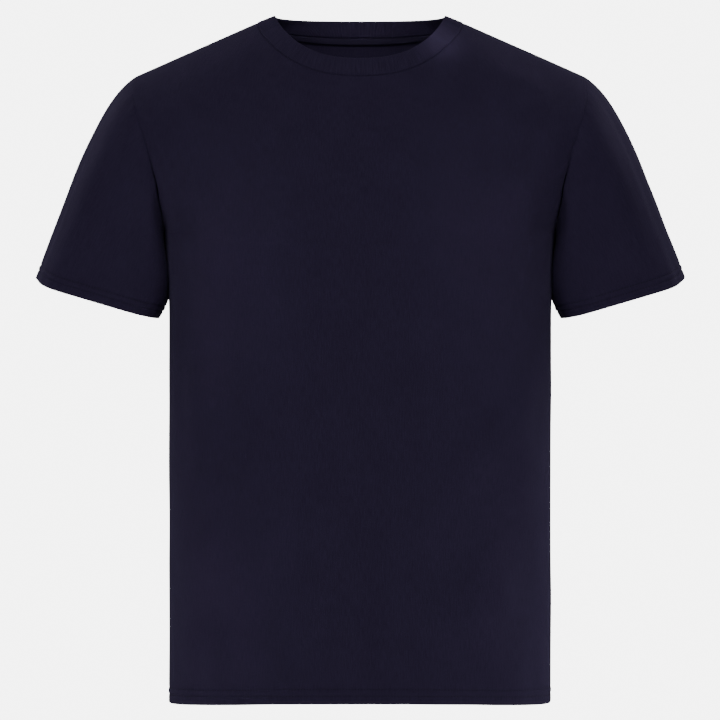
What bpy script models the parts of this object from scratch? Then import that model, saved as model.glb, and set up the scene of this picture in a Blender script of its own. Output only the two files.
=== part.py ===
"""Crew neck T-shirt, worn and hollow: front, back, two set-in sleeves, rib neckband and back neck tape.

Metres, +Z up, the front towards -Y and the wearer's left towards +X. The origin lies midway between the
neck ends of the two shoulder seams, on the shoulders that hold the garment up.
"""

import math
from collections import namedtuple
from functools import lru_cache

import bmesh
import bpy
import numpy as np

# Cloth
WALL = 0.0015
HEM_WALL = 0.0023
HEM_FOLD = 0.017
SEAM_GAP = 0.0003
RIB_THICK = 0.0024
TAPE_THICK = 0.0010
TAPE_WIDTH = 0.0078
TAPE_TOP_SHY = 0.0010
SHARP_EDGE = math.radians(50.0)

# Grid of each piece
PANEL_COLUMNS = 26
BODY_ROWS = 13
ARMHOLE_ROWS = 14
SHOULDER_ROWS = 5
NECK_ROW = 0.0068
ROW_SWEEP = 0.8
SLEEVE_ROWS = 11
SLEEVE_FOLD_SHARE = 0.006
BAND_COLUMNS = 64
BAND_ARC_STEPS = 4

# The body from hem to neck: one row a level. edge_x, edge_z are where the panel ends (side seam, armhole,
# then shoulder seam), front_y, front_z and back_y, back_z the middle of front and back, square the power
# of the superellipse round the body, and fall how late the level drops from its edge to its middle.
Level = namedtuple("Level", "name edge_x edge_z front_y front_z back_y back_z square fall")
LEVELS = (
    Level("hem", 0.1962, -0.6995, 0.1180, -0.6931, 0.1080, -0.6960, 2.6, 2.0),
    Level("seat", 0.1962, -0.5700, 0.1185, -0.5660, 0.1065, -0.5680, 2.6, 2.0),
    Level("waist", 0.1962, -0.4400, 0.1205, -0.4380, 0.1015, -0.4390, 2.6, 2.0),
    Level("ribs", 0.1963, -0.3100, 0.1232, -0.3100, 0.1075, -0.3100, 2.6, 2.0),
    Level("underarm", 0.2006, -0.2180, 0.1240, -0.2350, 0.1130, -0.2300, 2.9, 2.0),
    Level("scoop", 0.2052, -0.1790, 0.1232, -0.2060, 0.1140, -0.1960, 2.35, 2.0),
    Level("chest", 0.2125, -0.1460, 0.1208, -0.1810, 0.1130, -0.1660, 2.15, 2.0),
    Level("blade", 0.2232, -0.1120, 0.1172, -0.1570, 0.1090, -0.1360, 2.1, 2.0),
    Level("tip", 0.2290, -0.0560, 0.1095, -0.1180, 0.0960, -0.0860, 2.05, 1.9),
    Level("yoke", 0.1660, -0.0270, 0.1025, -0.0900, 0.0860, -0.0440, 2.2, 1.7),
    Level("neck", 0.1062, -0.0016, 0.0940, -0.0626, 0.0750, -0.0108, 2.38, 1.45),
)
UNDERARM, TIP = 4, 8
ARMHOLE_FRONT = math.radians(35.0)
ARMHOLE_BACK = math.radians(37.5)
ARMHOLE_POWERS = (0.65, 0.50)
BACK_WIDER = 0.0050
HEM_CORNER_LIFT = 0.0028
HEM_CORNER_REACH = 0.012

# The neckband's upper edge, from its side to its front and back middles
RIM_X, RIM_Z = 0.0870, 0.0051
RIM_FRONT_Y, RIM_FRONT_Z = 0.0850, -0.0440
RIM_BACK_Y, RIM_BACK_Z = 0.0700, 0.0065
RIM_SQUARE, RIM_FALL = 2.55, 1.52

# The sleeve: its hem is an oval round CUFF_CENTRE, rounder at its outer end, which is tilted up, and
# squarer beside the body
CUFF_CENTRE = (0.2728, 0.0040, -0.2892)
CUFF_HALF_WIDTH = 0.0664
CUFF_HALF_DEPTH = 0.0530
CUFF_SQUARES = (2.3, 5.0)
CUFF_SAMPLES = 161
CUFF_TILT = math.radians(16.5)
CUFF_OUTER_LIFT = 0.0070
CUFF_INNER_LIFT = 0.0025
CUFF_LIFT_POWER = 8
# Its cloth leaves the armhole and lands on the hem in these x, z directions, at its top and under the arm,
# leaning forward at the front and back at the back
SLEEVE_LEAVES = ((0.857, -0.515), (0.050, -0.999))
SLEEVE_LANDS = ((0.349, -0.937), (0.550, -0.835))
SLEEVE_LEAVE_REACH = (0.0415, 0.030)
SLEEVE_LAND_REACH = (0.141, 0.045)
SLEEVE_LEAVE_FORWARD = 0.10
SLEEVE_CLEARANCE = 0.0012
CLEARANCE_ONSET = 0.010
# Cosines of the angle between sleeve and body over which the sleeve's first ring turns level with the body
LEVEL_FROM, LEVEL_FULL = 0.3, 0.7

# Large soft folds of the body: where each starts and ends, its lean, its half width and its depth
Fold = namedtuple("Fold", "side x top bottom lean width depth")
FOLDS = (
    Fold("front", -0.026, -0.300, -0.720, 0.03, 0.034, -0.0032),
    Fold("front", -0.118, -0.330, -0.740, -0.05, 0.032, 0.0026),
    Fold("front", 0.190, -0.350, -0.570, -0.72, 0.030, 0.0030),
    Fold("front", 0.142, -0.440, -0.640, -0.42, 0.028, -0.0030),
    Fold("front", 0.128, -0.520, -0.740, 0.10, 0.026, 0.0022),
    Fold("back", -0.070, -0.170, -0.640, 0.05, 0.032, -0.0034),
    Fold("back", 0.062, -0.200, -0.700, -0.06, 0.034, -0.0030),
    Fold("back", 0.002, -0.300, -0.580, 0.00, 0.030, 0.0022),
)

# Fineness of the working
RING_SAMPLES = 240
STEP = 0.0004
TURN_STEP = 0.02
FOLD_STEP = 0.001


def monotone_slopes(stations, values):
    """The slopes of a monotone cubic through the values at these stations."""
    run = np.diff(stations)
    rise = np.diff(values) / run
    slopes = np.concatenate((rise[:1], np.zeros(len(values) - 2), rise[-1:]))
    for i in range(1, len(values) - 1):
        if rise[i - 1] * rise[i] > 0.0:
            near, far = 2 * run[i] + run[i - 1], run[i] + 2 * run[i - 1]
            slopes[i] = (near + far) / (near / rise[i - 1] + far / rise[i])
    return slopes


STATIONS = np.concatenate(([0.0], np.cumsum([
    math.dist((low.front_y, low.front_z), (high.front_y, high.front_z))
    for low, high in zip(LEVELS, LEVELS[1:])])))


def armhole_share(s):
    """How open the armhole is at station s: 0 at the underarm and the shoulder tip, 1 where it is widest."""
    low, high = ARMHOLE_POWERS
    t = (s - STATIONS[UNDERARM]) / (STATIONS[TIP] - STATIONS[UNDERARM])
    t = min(max(t, 0.0), 1.0)
    widest = low / (low + high)
    return t ** low * (1 - t) ** high / (widest ** low * (1 - widest) ** high)


def edge_angle(side, s):
    """Where round the body the panel ends: 0 at a side or shoulder seam, more at the armhole."""
    return armhole_share(s) * (ARMHOLE_FRONT if side == "front" else ARMHOLE_BACK)


Ring = namedtuple("Ring", "side_x side_z depth middle_z square fall")


def level_ring(side, level, s):
    """The half ring round the body that a level's panel lies on; at an armhole it reaches past the panel."""
    start = edge_angle(side, s)
    if side == "front":
        edge_x, depth, middle_z = level.edge_x, level.front_y, level.front_z
    else:
        edge_x = level.edge_x + BACK_WIDER * armhole_share(s) ** 2
        depth, middle_z = level.back_y, level.back_z
    share = math.sin(start) ** level.fall
    side_z = (level.edge_z - share * middle_z) / (1 - share)
    return Ring(edge_x / math.cos(start) ** (2 / level.square), side_z, depth, middle_z,
                level.square, level.fall)


def ring_table(side):
    """Each level's ring, and how fast its values change there: both sides of the tip rise alike."""
    rings = np.array([level_ring(side, level, s) for level, s in zip(LEVELS, STATIONS)])
    slopes = np.array([monotone_slopes(STATIONS, values) for values in rings.T]).T
    slopes[TIP, :2] = (rings[-1, :2] - rings[TIP, :2]) / (STATIONS[-1] - STATIONS[TIP])
    return rings, slopes


RINGS = {side: ring_table(side) for side in ("front", "back")}


@lru_cache(maxsize=None)
def ring_at(side, s):
    """The ring at station s, the distance up the middle of the front from the hem.

    Above the tip the panels end on the shoulder seam, which is straight.
    """
    rings, slopes = RINGS[side]
    i = min(max(int(np.searchsorted(STATIONS, s)) - 1, 0), len(LEVELS) - 2)
    run = STATIONS[i + 1] - STATIONS[i]
    t = (s - STATIONS[i]) / run
    ease = t * t * (3 - 2 * t)
    values = (rings[i] + (rings[i + 1] - rings[i]) * ease
              + run * (slopes[i] * t * (1 - t) ** 2 - slopes[i + 1] * t * t * (1 - t)))
    if s > STATIONS[TIP]:
        values[:2] = rings[TIP, :2] + slopes[TIP, :2] * (s - STATIONS[TIP])
    return Ring(*values.tolist())


def unit(vector):
    return vector / np.linalg.norm(vector)


def fold_depth(side, x, z):
    """How far the large folds move the cloth out at each x, z."""
    out = np.zeros_like(x)
    for fold in FOLDS:
        if fold.side == side:
            along = np.clip((fold.top - z) / (fold.top - fold.bottom), 0.0, 1.0)
            across = (x - fold.x - fold.lean * (fold.top - z)) / fold.width
            out += fold.depth * np.sin(math.pi * along).clip(0.0) ** 1.5 * np.exp(-across * across)
    return out


def body_points(side, s, angles):
    """Points of the body's outer surface: angle 0 is the +X edge, a quarter turn the middle, a half -X."""
    ring = ring_at(side, s)
    cos, sin = np.cos(angles), np.abs(np.sin(angles))
    x = ring.side_x * np.sign(cos) * np.abs(cos) ** (2 / ring.square)
    y = ring.depth * sin ** (2 / ring.square)
    z = ring.side_z + (ring.middle_z - ring.side_z) * sin ** ring.fall
    near_hem = max(0.0, 1 - s / (2 * HEM_FOLD))
    z += HEM_CORNER_LIFT * near_hem * np.exp(-(y / HEM_CORNER_REACH) ** 2)
    y += fold_depth(side, x, z)
    return np.stack((x, -y if side == "front" else y, z), axis=-1)


def body_point(side, s, angle):
    """One point of the body, also round its edge, where the angle passes onto the other panel."""
    if not 0.0 <= angle <= math.pi:
        side = "back" if side == "front" else "front"
        angle = -angle if angle < 0.0 else 2 * math.pi - angle
    return body_points(side, s, np.array([angle]))[0]


def body_normal(side, s, angle):
    """The outward normal of the body's surface, the same on both sides of a seam."""
    low, high = max(0.0, s - STEP), min(STATIONS[-1], s + STEP)
    along = body_point(side, high, angle) - body_point(side, low, angle)
    across = body_point(side, s, angle + TURN_STEP) - body_point(side, s, angle - TURN_STEP)
    out = unit(np.cross(along, across))
    return out if side == "front" else -out


def even_angles(side, s, columns, trim):
    """Angles whose points are evenly spaced round the panel at station s, trim in from each edge."""
    start = edge_angle(side, s)
    half = (math.pi / 2 - start) * np.linspace(0.0, 1.0, RING_SAMPLES) ** 2
    angles = np.concatenate((start + half, (math.pi - start - half)[-2::-1]))
    steps = np.linalg.norm(np.diff(body_points(side, s, angles), axis=0), axis=1)
    walked = np.concatenate(([0.0], np.cumsum(steps)))
    return np.interp(np.linspace(trim, walked[-1] - trim, columns + 1), walked, angles)


def body_stations():
    """Stations of the panel's rows at its edges and at its middle, from hem to neck."""
    underarm, tip, neck = STATIONS[UNDERARM], STATIONS[TIP], STATIONS[-1]
    hem = np.array((0.0, HEM_FOLD, HEM_FOLD + FOLD_STEP))
    body = np.linspace(HEM_FOLD + FOLD_STEP, underarm, BODY_ROWS + 1)[1:]
    steps = np.arange(1, ARMHOLE_ROWS + 1) / ARMHOLE_ROWS
    armhole_edge = underarm + (tip - underarm) * (1 - np.cos(np.pi * steps)) / 2
    armhole_middle = underarm + (tip - underarm) * steps
    shoulder = np.linspace(tip, neck - NECK_ROW, SHOULDER_ROWS + 1)[1:]
    return (np.concatenate((hem, body, armhole_edge, shoulder, (neck,))),
            np.concatenate((hem, body, armhole_middle, shoulder, (neck,))))


def wall_at(s):
    return HEM_WALL if s < HEM_FOLD + STEP else WALL


def closed_wall(name, outer, inner, round_way=False):
    """A closed mesh from matching grids of outer and inner points; round_way closes each row on itself."""
    mesh = bmesh.new()
    rows, columns = len(outer), len(outer[0])
    sheets = [[[mesh.verts.new(tuple(point)) for point in row] for row in grid] for grid in (outer, inner)]
    last = columns if round_way else columns - 1
    for sheet, turned in zip(sheets, (False, True)):
        for i in range(rows - 1):
            for j in range(last):
                k = (j + 1) % columns
                face = [sheet[i][j], sheet[i][k], sheet[i + 1][k], sheet[i + 1][j]]
                mesh.faces.new(face[::-1] if turned else face)
    rim = [(i, j, i, (j + 1) % columns) for i in (0, rows - 1) for j in range(last)]
    if not round_way:
        rim += [(i, j, i + 1, j) for j in (0, columns - 1) for i in range(rows - 1)]
    for a, b, c, d in rim:
        mesh.faces.new((sheets[0][a][b], sheets[0][c][d], sheets[1][c][d], sheets[1][a][b]))
    bmesh.ops.recalc_face_normals(mesh, faces=mesh.faces)
    return finish(name, mesh)


def finish(name, mesh):
    """Turns a bmesh into a named, smooth-shaded object of the scene."""
    bmesh.ops.triangulate(mesh, faces=mesh.faces)
    data = bpy.data.meshes.new(name)
    mesh.to_mesh(data)
    mesh.free()
    data.shade_smooth()
    data.set_sharp_from_angle(angle=SHARP_EDGE)
    piece = bpy.data.objects.new(name, data)
    bpy.context.scene.collection.objects.link(piece)
    return piece


def panel_row(side, edge, middle):
    """One row of a panel: the outer points and the outward normals, with the wall that belongs there."""
    points, normals, walls = [], [], []
    for j in range(PANEL_COLUMNS + 1):
        from_edge = 1 - abs(2 * j / PANEL_COLUMNS - 1)
        inward = math.sin(math.pi / 2 * from_edge) ** ROW_SWEEP
        s = edge + (middle - edge) * inward
        angle = even_angles(side, s, PANEL_COLUMNS, SEAM_GAP / 2)[j]
        points.append(body_point(side, s, angle))
        normals.append(body_normal(side, s, angle))
        walls.append(wall_at(s))
    return np.array(points), np.array(normals), np.array(walls)[:, None]


def panel(side):
    """The front or back of the body, from shoulder seams to hem."""
    rows = [panel_row(side, edge, middle) for edge, middle in zip(*body_stations())]
    outer = [points for points, normals, walls in rows]
    inner = [points - walls * normals for points, normals, walls in rows]
    return closed_wall(side + "_panel", outer, inner)


def armhole_loop(hand):
    """The armhole's points on the body, from the shoulder tip down the front and up the back."""
    underarm, tip = STATIONS[UNDERARM], STATIONS[TIP]
    steps = np.arange(ARMHOLE_ROWS + 1) / ARMHOLE_ROWS
    stations = underarm + (tip - underarm) * (1 + np.cos(np.pi * steps)) / 2
    down = [body_point("front", s, edge_angle("front", s)) for s in stations]
    up = [body_point("back", s, edge_angle("back", s)) for s in stations[-2:0:-1]]
    return [point * (hand, 1, 1) for point in down + up]


def armhole_normals():
    """The body's outward normals at the points of armhole_loop, on the +X side."""
    underarm, tip = STATIONS[UNDERARM], STATIONS[TIP]
    steps = np.arange(ARMHOLE_ROWS + 1) / ARMHOLE_ROWS
    stations = underarm + (tip - underarm) * (1 + np.cos(np.pi * steps)) / 2
    down = [body_normal("front", s, edge_angle("front", s)) for s in stations]
    up = [body_normal("back", s, edge_angle("back", s)) for s in stations[-2:0:-1]]
    return np.array(down + up)


def loop_angles(loop):
    """Half turns from the loop's first point, in step with the distance walked round it."""
    closed = np.array(loop + loop[:1])
    walked = np.concatenate(([0.0], np.cumsum(np.linalg.norm(np.diff(closed, axis=0), axis=1))))
    bottom = len(loop) // 2
    down = math.pi * walked[:bottom] / walked[bottom]
    up = math.pi + math.pi * (walked[bottom:-1] - walked[bottom]) / (walked[-1] - walked[bottom])
    return np.concatenate((down, up))


@lru_cache(maxsize=None)
def cuff_half():
    """The front half of the hem's oval, in shares of its half width and depth, and the distance walked."""
    turn = np.linspace(0.0, math.pi, CUFF_SAMPLES)
    square = np.where(turn < math.pi / 2, *CUFF_SQUARES)
    half = np.stack((np.sign(np.cos(turn)) * np.abs(np.cos(turn)) ** (2 / square),
                     np.abs(np.sin(turn)) ** (2 / square)), axis=1)
    steps = np.linalg.norm(np.diff(half * (CUFF_HALF_WIDTH, CUFF_HALF_DEPTH), axis=0), axis=1)
    return half, np.concatenate(([0.0], np.cumsum(steps)))


def cuff_point(angle):
    """A point of the +X sleeve's hem, in step with the distance walked: 0 is its outer end, pi its inner."""
    along = np.array((math.cos(CUFF_TILT), 0.0, math.sin(CUFF_TILT)))
    axis = np.array((math.sin(CUFF_TILT), 0.0, -math.cos(CUFF_TILT)))
    half, walked = cuff_half()
    spot = (1 - abs(1 - angle / math.pi)) * walked[-1]
    out, forward = (float(np.interp(spot, walked, column)) for column in half.T)
    point = np.array(CUFF_CENTRE) + CUFF_HALF_WIDTH * out * along
    point[1] -= CUFF_HALF_DEPTH * math.copysign(forward, math.pi - angle)
    outer = CUFF_OUTER_LIFT * max(0.0, out) ** CUFF_LIFT_POWER
    inner = CUFF_INNER_LIFT * max(0.0, -out) ** CUFF_LIFT_POWER
    return point - (outer + inner) * axis


def blend(pair, angle):
    """Goes from the first value, at the top of the sleeve, to the second, under the arm."""
    low = (1 - math.cos(angle)) / 2
    return (1 - low) * np.array(pair[0]) + low * np.array(pair[1])


def beside_body(point):
    """Keeps a point of the +X sleeve just outside the body below the underarm."""
    side = "front" if point[1] < 0.0 else "back"
    s = float(np.interp(point[2], [level.edge_z for level in LEVELS], STATIONS))
    if s >= STATIONS[UNDERARM]:
        return point
    ring = ring_at(side, s)
    across = max(0.0, 1 - (abs(point[1]) / ring.depth) ** ring.square) ** (1 / ring.square)
    limit = ring.side_x * across + SLEEVE_CLEARANCE
    below = min(1.0, (STATIONS[UNDERARM] - s) / CLEARANCE_ONSET)
    return np.array((max(point[0], point[0] + (limit - point[0]) * below), point[1], point[2]))


def sleeve_paths():
    """For each point of the +X armhole, the cubic curve that the cloth follows from there to the hem."""
    loop = armhole_loop(1)
    paths = []
    for start, angle in zip(loop, loop_angles(loop)):
        leave, land = blend(SLEEVE_LEAVES, angle), blend(SLEEVE_LANDS, angle)
        leave = unit(np.array((leave[0], -SLEEVE_LEAVE_FORWARD * math.sin(angle), leave[1])))
        land = unit(np.array((land[0], 0.0, land[1])))
        start = start + SEAM_GAP * leave
        end = cuff_point(angle)
        paths.append((start, start + blend(SLEEVE_LEAVE_REACH, angle) * leave,
                      end - blend(SLEEVE_LAND_REACH, angle) * land, end))
    return paths


def path_point(path, t):
    a, b, c, d = path
    return (1 - t) ** 3 * a + 3 * (1 - t) ** 2 * t * b + 3 * (1 - t) * t * t * c + t ** 3 * d


def sleeve(name, hand):
    """A set-in short sleeve; hand is 1 for the wearer's left and -1 for the right."""
    paths = sleeve_paths()
    length = np.mean([np.linalg.norm(path[3] - path[0]) for path in paths])
    fold = 1 - HEM_FOLD / length
    shares = np.concatenate((np.linspace(0.0, fold - SLEEVE_FOLD_SHARE, SLEEVE_ROWS), (fold, 1.0)))
    grid = np.array([[beside_body(path_point(path, t)) for path in paths] for t in shares])
    along = np.gradient(grid, axis=0)
    across = (np.roll(grid, -1, axis=1) - np.roll(grid, 1, axis=1)) / 2
    normals = np.cross(along, across)
    normals /= np.linalg.norm(normals, axis=2, keepdims=True)
    middle = grid.mean(axis=1, keepdims=True)
    if np.sum(normals * (grid - middle)) < 0.0:
        normals = -normals
    body = armhole_normals()
    cosines = np.sum(normals[0] * body, axis=1)
    level_with = np.clip((cosines - LEVEL_FROM) / (LEVEL_FULL - LEVEL_FROM), 0.0, 1.0)[:, None]
    normals[0] = normals[0] * (1 - level_with) + body * level_with
    normals[0] /= np.linalg.norm(normals[0], axis=1, keepdims=True)
    walls = np.where(shares >= fold, HEM_WALL, WALL)[:, None, None]
    outer, inner = grid * (hand, 1, 1), (grid - walls * normals) * (hand, 1, 1)
    return closed_wall(name, outer, inner, round_way=True)


def ring_angles(count):
    """Evenly spaced turns round the neck, from the +X shoulder seam by the front."""
    return [2 * math.pi * i / count for i in range(count)]


def on_neck(turn):
    """The panel and its angle that a turn round the neck falls on."""
    return ("front", turn) if turn <= math.pi else ("back", 2 * math.pi - turn)


def rim_point(turn):
    """A point of the neckband's upper edge."""
    front = turn <= math.pi
    depth, middle_z = (RIM_FRONT_Y, RIM_FRONT_Z) if front else (RIM_BACK_Y, RIM_BACK_Z)
    cos, sin = math.cos(turn), abs(math.sin(turn))
    x = math.copysign(RIM_X * abs(cos) ** (2 / RIM_SQUARE), cos)
    y = depth * sin ** (2 / RIM_SQUARE)
    z = RIM_Z + (middle_z - RIM_Z) * sin ** RIM_FALL
    return np.array((x, -y if front else y, z))


def collar_band():
    """The doubled rib band: it rises from the neck seam along the shoulders' slope, with a rounded fold."""
    arc = [math.pi * i / BAND_ARC_STEPS for i in range(BAND_ARC_STEPS + 1)]
    radius = RIB_THICK / 2
    section = [(0.0, radius), (0.5, radius)]
    section += [(1.0, radius * math.cos(a), radius * math.sin(a)) for a in arc]
    section += [(0.5, -radius), (0.0, -radius)]
    rows = []
    for turn in ring_angles(BAND_COLUMNS):
        side, angle = on_neck(turn)
        seam = body_point(side, STATIONS[-1], angle)
        normal = body_normal(side, STATIONS[-1], angle)
        top = rim_point(turn)
        along = top - seam
        foot = seam + SEAM_GAP * unit(along - np.dot(along, normal) * normal) - WALL / 2 * normal
        rise = top - foot
        reach = np.linalg.norm(rise) - radius
        upward = unit(rise)
        out = unit(normal - np.dot(normal, upward) * upward)
        row = []
        for share, offset, *beyond in section:
            lean = unit(normal * (1 - share) + out * share)
            point = foot + share * reach * upward + offset * lean
            row.append(point + (beyond[0] if beyond else 0.0) * upward)
        rows.append(row)
    return ring_solid("collar_band", rows)


def ring_solid(name, sections):
    """A closed ring from like sections, each joined to the next and the last to the first."""
    mesh = bmesh.new()
    verts = [[mesh.verts.new(tuple(point)) for point in section] for section in sections]
    count, points = len(verts), len(verts[0])
    for i in range(count):
        for j in range(points):
            a, b = verts[i], verts[(i + 1) % count]
            mesh.faces.new((a[j], b[j], b[(j + 1) % points], a[(j + 1) % points]))
    bmesh.ops.recalc_face_normals(mesh, faces=mesh.faces)
    return finish(name, mesh)


def neck_tape():
    """The narrow tape that covers the back neck seam inside, on the back panel's last rows moved inward."""
    low, neck = STATIONS[-1] - NECK_ROW, STATIONS[-1]
    (low_points, low_normals, _), (top_points, top_normals, _) = (
        panel_row("back", s, s) for s in (low, neck))
    between = np.linalg.norm(top_points - low_points, axis=1, keepdims=True)
    outer, inner = [], []
    for below_seam in (TAPE_WIDTH, TAPE_TOP_SHY):
        share = 1 - below_seam / between
        points = (low_points + (top_points - low_points) * share)[1:-1]
        normals = (low_normals + (top_normals - low_normals) * share)[1:-1]
        outer.append(points - (WALL + SEAM_GAP) * normals)
        inner.append(points - (WALL + SEAM_GAP + TAPE_THICK) * normals)
    return closed_wall("neck_tape", outer, inner)


def cloth(name, colour, roughness):
    """A fabric material of one colour."""
    material = bpy.data.materials.new(name)
    material.use_nodes = True
    shader = material.node_tree.nodes["Principled BSDF"]
    shader.inputs["Base Color"].default_value = (*colour, 1.0)
    shader.inputs["Roughness"].default_value = roughness
    shader.inputs["Metallic"].default_value = 0.0
    return material


def main():
    for old in list(bpy.data.objects):
        bpy.data.objects.remove(old)
    jersey = cloth("navy_jersey", (0.012, 0.010, 0.021), 0.9)
    rib = cloth("navy_rib", (0.013, 0.011, 0.022), 0.9)
    tape = cloth("navy_tape", (0.010, 0.009, 0.018), 0.85)
    dressed = (
        (panel("front"), jersey), (panel("back"), jersey),
        (sleeve("sleeve_left", 1), jersey), (sleeve("sleeve_right", -1), jersey),
        (collar_band(), rib), (neck_tape(), tape),
    )
    for piece, material in dressed:
        piece.data.materials.append(material)


main()
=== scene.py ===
"""Crew neck T-shirt in plain dark jersey, worn and hollow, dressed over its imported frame.

Metres, +Z up, the front towards -Y and the wearer's left towards +X. Every piece of cloth is one thin sheet
on the form of its solid: the hems are really turned up, the edges roll in where they are sewn, and the
neckband's ribs, the stitches and the trimmed seam edges inside are raised.
"""

import logging
import math
from dataclasses import dataclass, field
from enum import Enum
from typing import Any, Dict, List, Sequence, Tuple, Union

import bpy
import numpy as np
from bpy.types import Material, Node, NodeSocket, Object
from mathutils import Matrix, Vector

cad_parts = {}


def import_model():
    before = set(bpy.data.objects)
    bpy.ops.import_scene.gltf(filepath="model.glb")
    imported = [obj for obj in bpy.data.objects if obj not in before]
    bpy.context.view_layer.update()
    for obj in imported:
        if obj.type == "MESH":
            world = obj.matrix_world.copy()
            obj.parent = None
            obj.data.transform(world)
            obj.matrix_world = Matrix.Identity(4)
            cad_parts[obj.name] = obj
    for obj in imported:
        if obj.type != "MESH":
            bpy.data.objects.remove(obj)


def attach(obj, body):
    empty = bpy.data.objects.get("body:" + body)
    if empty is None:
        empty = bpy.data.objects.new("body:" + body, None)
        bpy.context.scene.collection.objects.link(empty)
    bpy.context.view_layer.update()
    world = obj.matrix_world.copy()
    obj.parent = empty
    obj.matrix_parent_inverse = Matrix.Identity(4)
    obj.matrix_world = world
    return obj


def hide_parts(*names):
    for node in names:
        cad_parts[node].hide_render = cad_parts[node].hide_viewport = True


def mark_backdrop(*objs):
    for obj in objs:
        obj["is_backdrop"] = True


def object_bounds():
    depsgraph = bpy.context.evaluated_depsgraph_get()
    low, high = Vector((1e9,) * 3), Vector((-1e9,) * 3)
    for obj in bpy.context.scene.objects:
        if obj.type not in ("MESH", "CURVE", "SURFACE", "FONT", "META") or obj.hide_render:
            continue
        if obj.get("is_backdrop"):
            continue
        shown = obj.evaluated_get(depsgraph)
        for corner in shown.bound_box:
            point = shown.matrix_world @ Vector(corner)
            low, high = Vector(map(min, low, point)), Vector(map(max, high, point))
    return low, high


Array = np.ndarray
Point = Tuple[float, float, float]
Colour = Tuple[float, float, float]
Number = Union[float, "Wire"]

log = logging.getLogger("t_shirt")

ROOT = "root"
CLOTH_MAP = "cloth"


class Side(Enum):
    """The two halves of the body."""

    FRONT = "front"
    BACK = "back"


class Hand(Enum):
    """The two sleeves, by the wearer's hand, with the sign of X on that side."""

    LEFT = 1
    RIGHT = -1

    @property
    def word(self) -> str:
        """The hand as a word in a piece's name."""
        return self.name.lower()


class Slot(Enum):
    """The record's material slots."""

    JERSEY = "jersey"
    RIB = "rib"
    TAPE = "tape"


# --- Sizes of the form, which are those of the solids ---


@dataclass(frozen=True)
class Level:
    """One level of the body: where its panels end, how deep its middle lies and how square it is."""

    name: str
    edge_x: float
    edge_z: float
    front_y: float
    front_z: float
    back_y: float
    back_z: float
    square: float
    fall: float


LEVELS = (
    Level("hem", 0.1962, -0.6995, 0.1180, -0.6931, 0.1080, -0.6960, 2.6, 2.0),
    Level("seat", 0.1962, -0.5700, 0.1185, -0.5660, 0.1065, -0.5680, 2.6, 2.0),
    Level("waist", 0.1962, -0.4400, 0.1205, -0.4380, 0.1015, -0.4390, 2.6, 2.0),
    Level("ribs", 0.1963, -0.3100, 0.1232, -0.3100, 0.1075, -0.3100, 2.6, 2.0),
    Level("underarm", 0.2006, -0.2180, 0.1240, -0.2350, 0.1130, -0.2300, 2.9, 2.0),
    Level("scoop", 0.2052, -0.1790, 0.1232, -0.2060, 0.1140, -0.1960, 2.35, 2.0),
    Level("chest", 0.2125, -0.1460, 0.1208, -0.1810, 0.1130, -0.1660, 2.15, 2.0),
    Level("blade", 0.2232, -0.1120, 0.1172, -0.1570, 0.1090, -0.1360, 2.1, 2.0),
    Level("tip", 0.2290, -0.0560, 0.1095, -0.1180, 0.0960, -0.0860, 2.05, 1.9),
    Level("yoke", 0.1660, -0.0270, 0.1025, -0.0900, 0.0860, -0.0440, 2.2, 1.7),
    Level("neck", 0.1062, -0.0016, 0.0940, -0.0626, 0.0750, -0.0108, 2.38, 1.45),
)
UNDERARM, TIP = 4, 8


@dataclass(frozen=True)
class Fold:
    """A large soft fold of the body, which the solids have too: it moves the cloth out along Y."""

    side: Side
    x: float
    top: float
    bottom: float
    lean: float
    width: float
    depth: float
    taper: float = 1.5

    def lift(self, x: Array, z: Array) -> Array:
        """How far the fold moves the cloth out.

        Args:
            x: Places across the body.
            z: Heights, one for each x.

        Returns:
            The outward moves.
        """
        along = np.clip((self.top - z) / (self.top - self.bottom), 0.0, 1.0)
        across = (x - self.x - self.lean * (self.top - z)) / self.width
        return self.depth * np.sin(math.pi * along).clip(0.0) ** self.taper * np.exp(-across * across)


FOLDS = (
    Fold(Side.FRONT, -0.026, -0.300, -0.720, 0.03, 0.034, -0.0032),
    Fold(Side.FRONT, -0.118, -0.330, -0.740, -0.05, 0.032, 0.0026),
    Fold(Side.FRONT, 0.190, -0.350, -0.570, -0.72, 0.030, 0.0030),
    Fold(Side.FRONT, 0.142, -0.440, -0.640, -0.42, 0.028, -0.0030),
    Fold(Side.FRONT, 0.128, -0.520, -0.740, 0.10, 0.026, 0.0022),
    Fold(Side.BACK, -0.070, -0.170, -0.640, 0.05, 0.032, -0.0034),
    Fold(Side.BACK, 0.062, -0.200, -0.700, -0.06, 0.034, -0.0030),
    Fold(Side.BACK, 0.002, -0.300, -0.580, 0.00, 0.030, 0.0022),
)


@dataclass(frozen=True)
class Crease:
    """A soft trough or ridge pressed into a sheet, from one place on it to another.

    Places are metres across from the sheet's middle line, and height. A negative depth is a trough, and
    bow bends the line sideways at its middle.
    """

    start: Tuple[float, float]
    end: Tuple[float, float]
    width: float
    depth: float
    bow: float = 0.0
    taper: float = 1.3

    def lift(self, across: Array, height: Array) -> Array:
        """How far the crease moves the cloth out.

        Args:
            across: Places across the sheet.
            height: Heights, one for each place.

        Returns:
            The outward moves.
        """
        run = np.subtract(self.end, self.start)
        length = float(np.hypot(*run))
        run = run / length
        east, north = across - self.start[0], height - self.start[1]
        along = np.clip((east * run[0] + north * run[1]) / length, 0.0, 1.0)
        swell = np.sin(math.pi * along)
        off = (east * run[1] - north * run[0] - self.bow * swell) / self.width
        return self.depth * swell ** self.taper * np.exp(-off * off)


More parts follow.
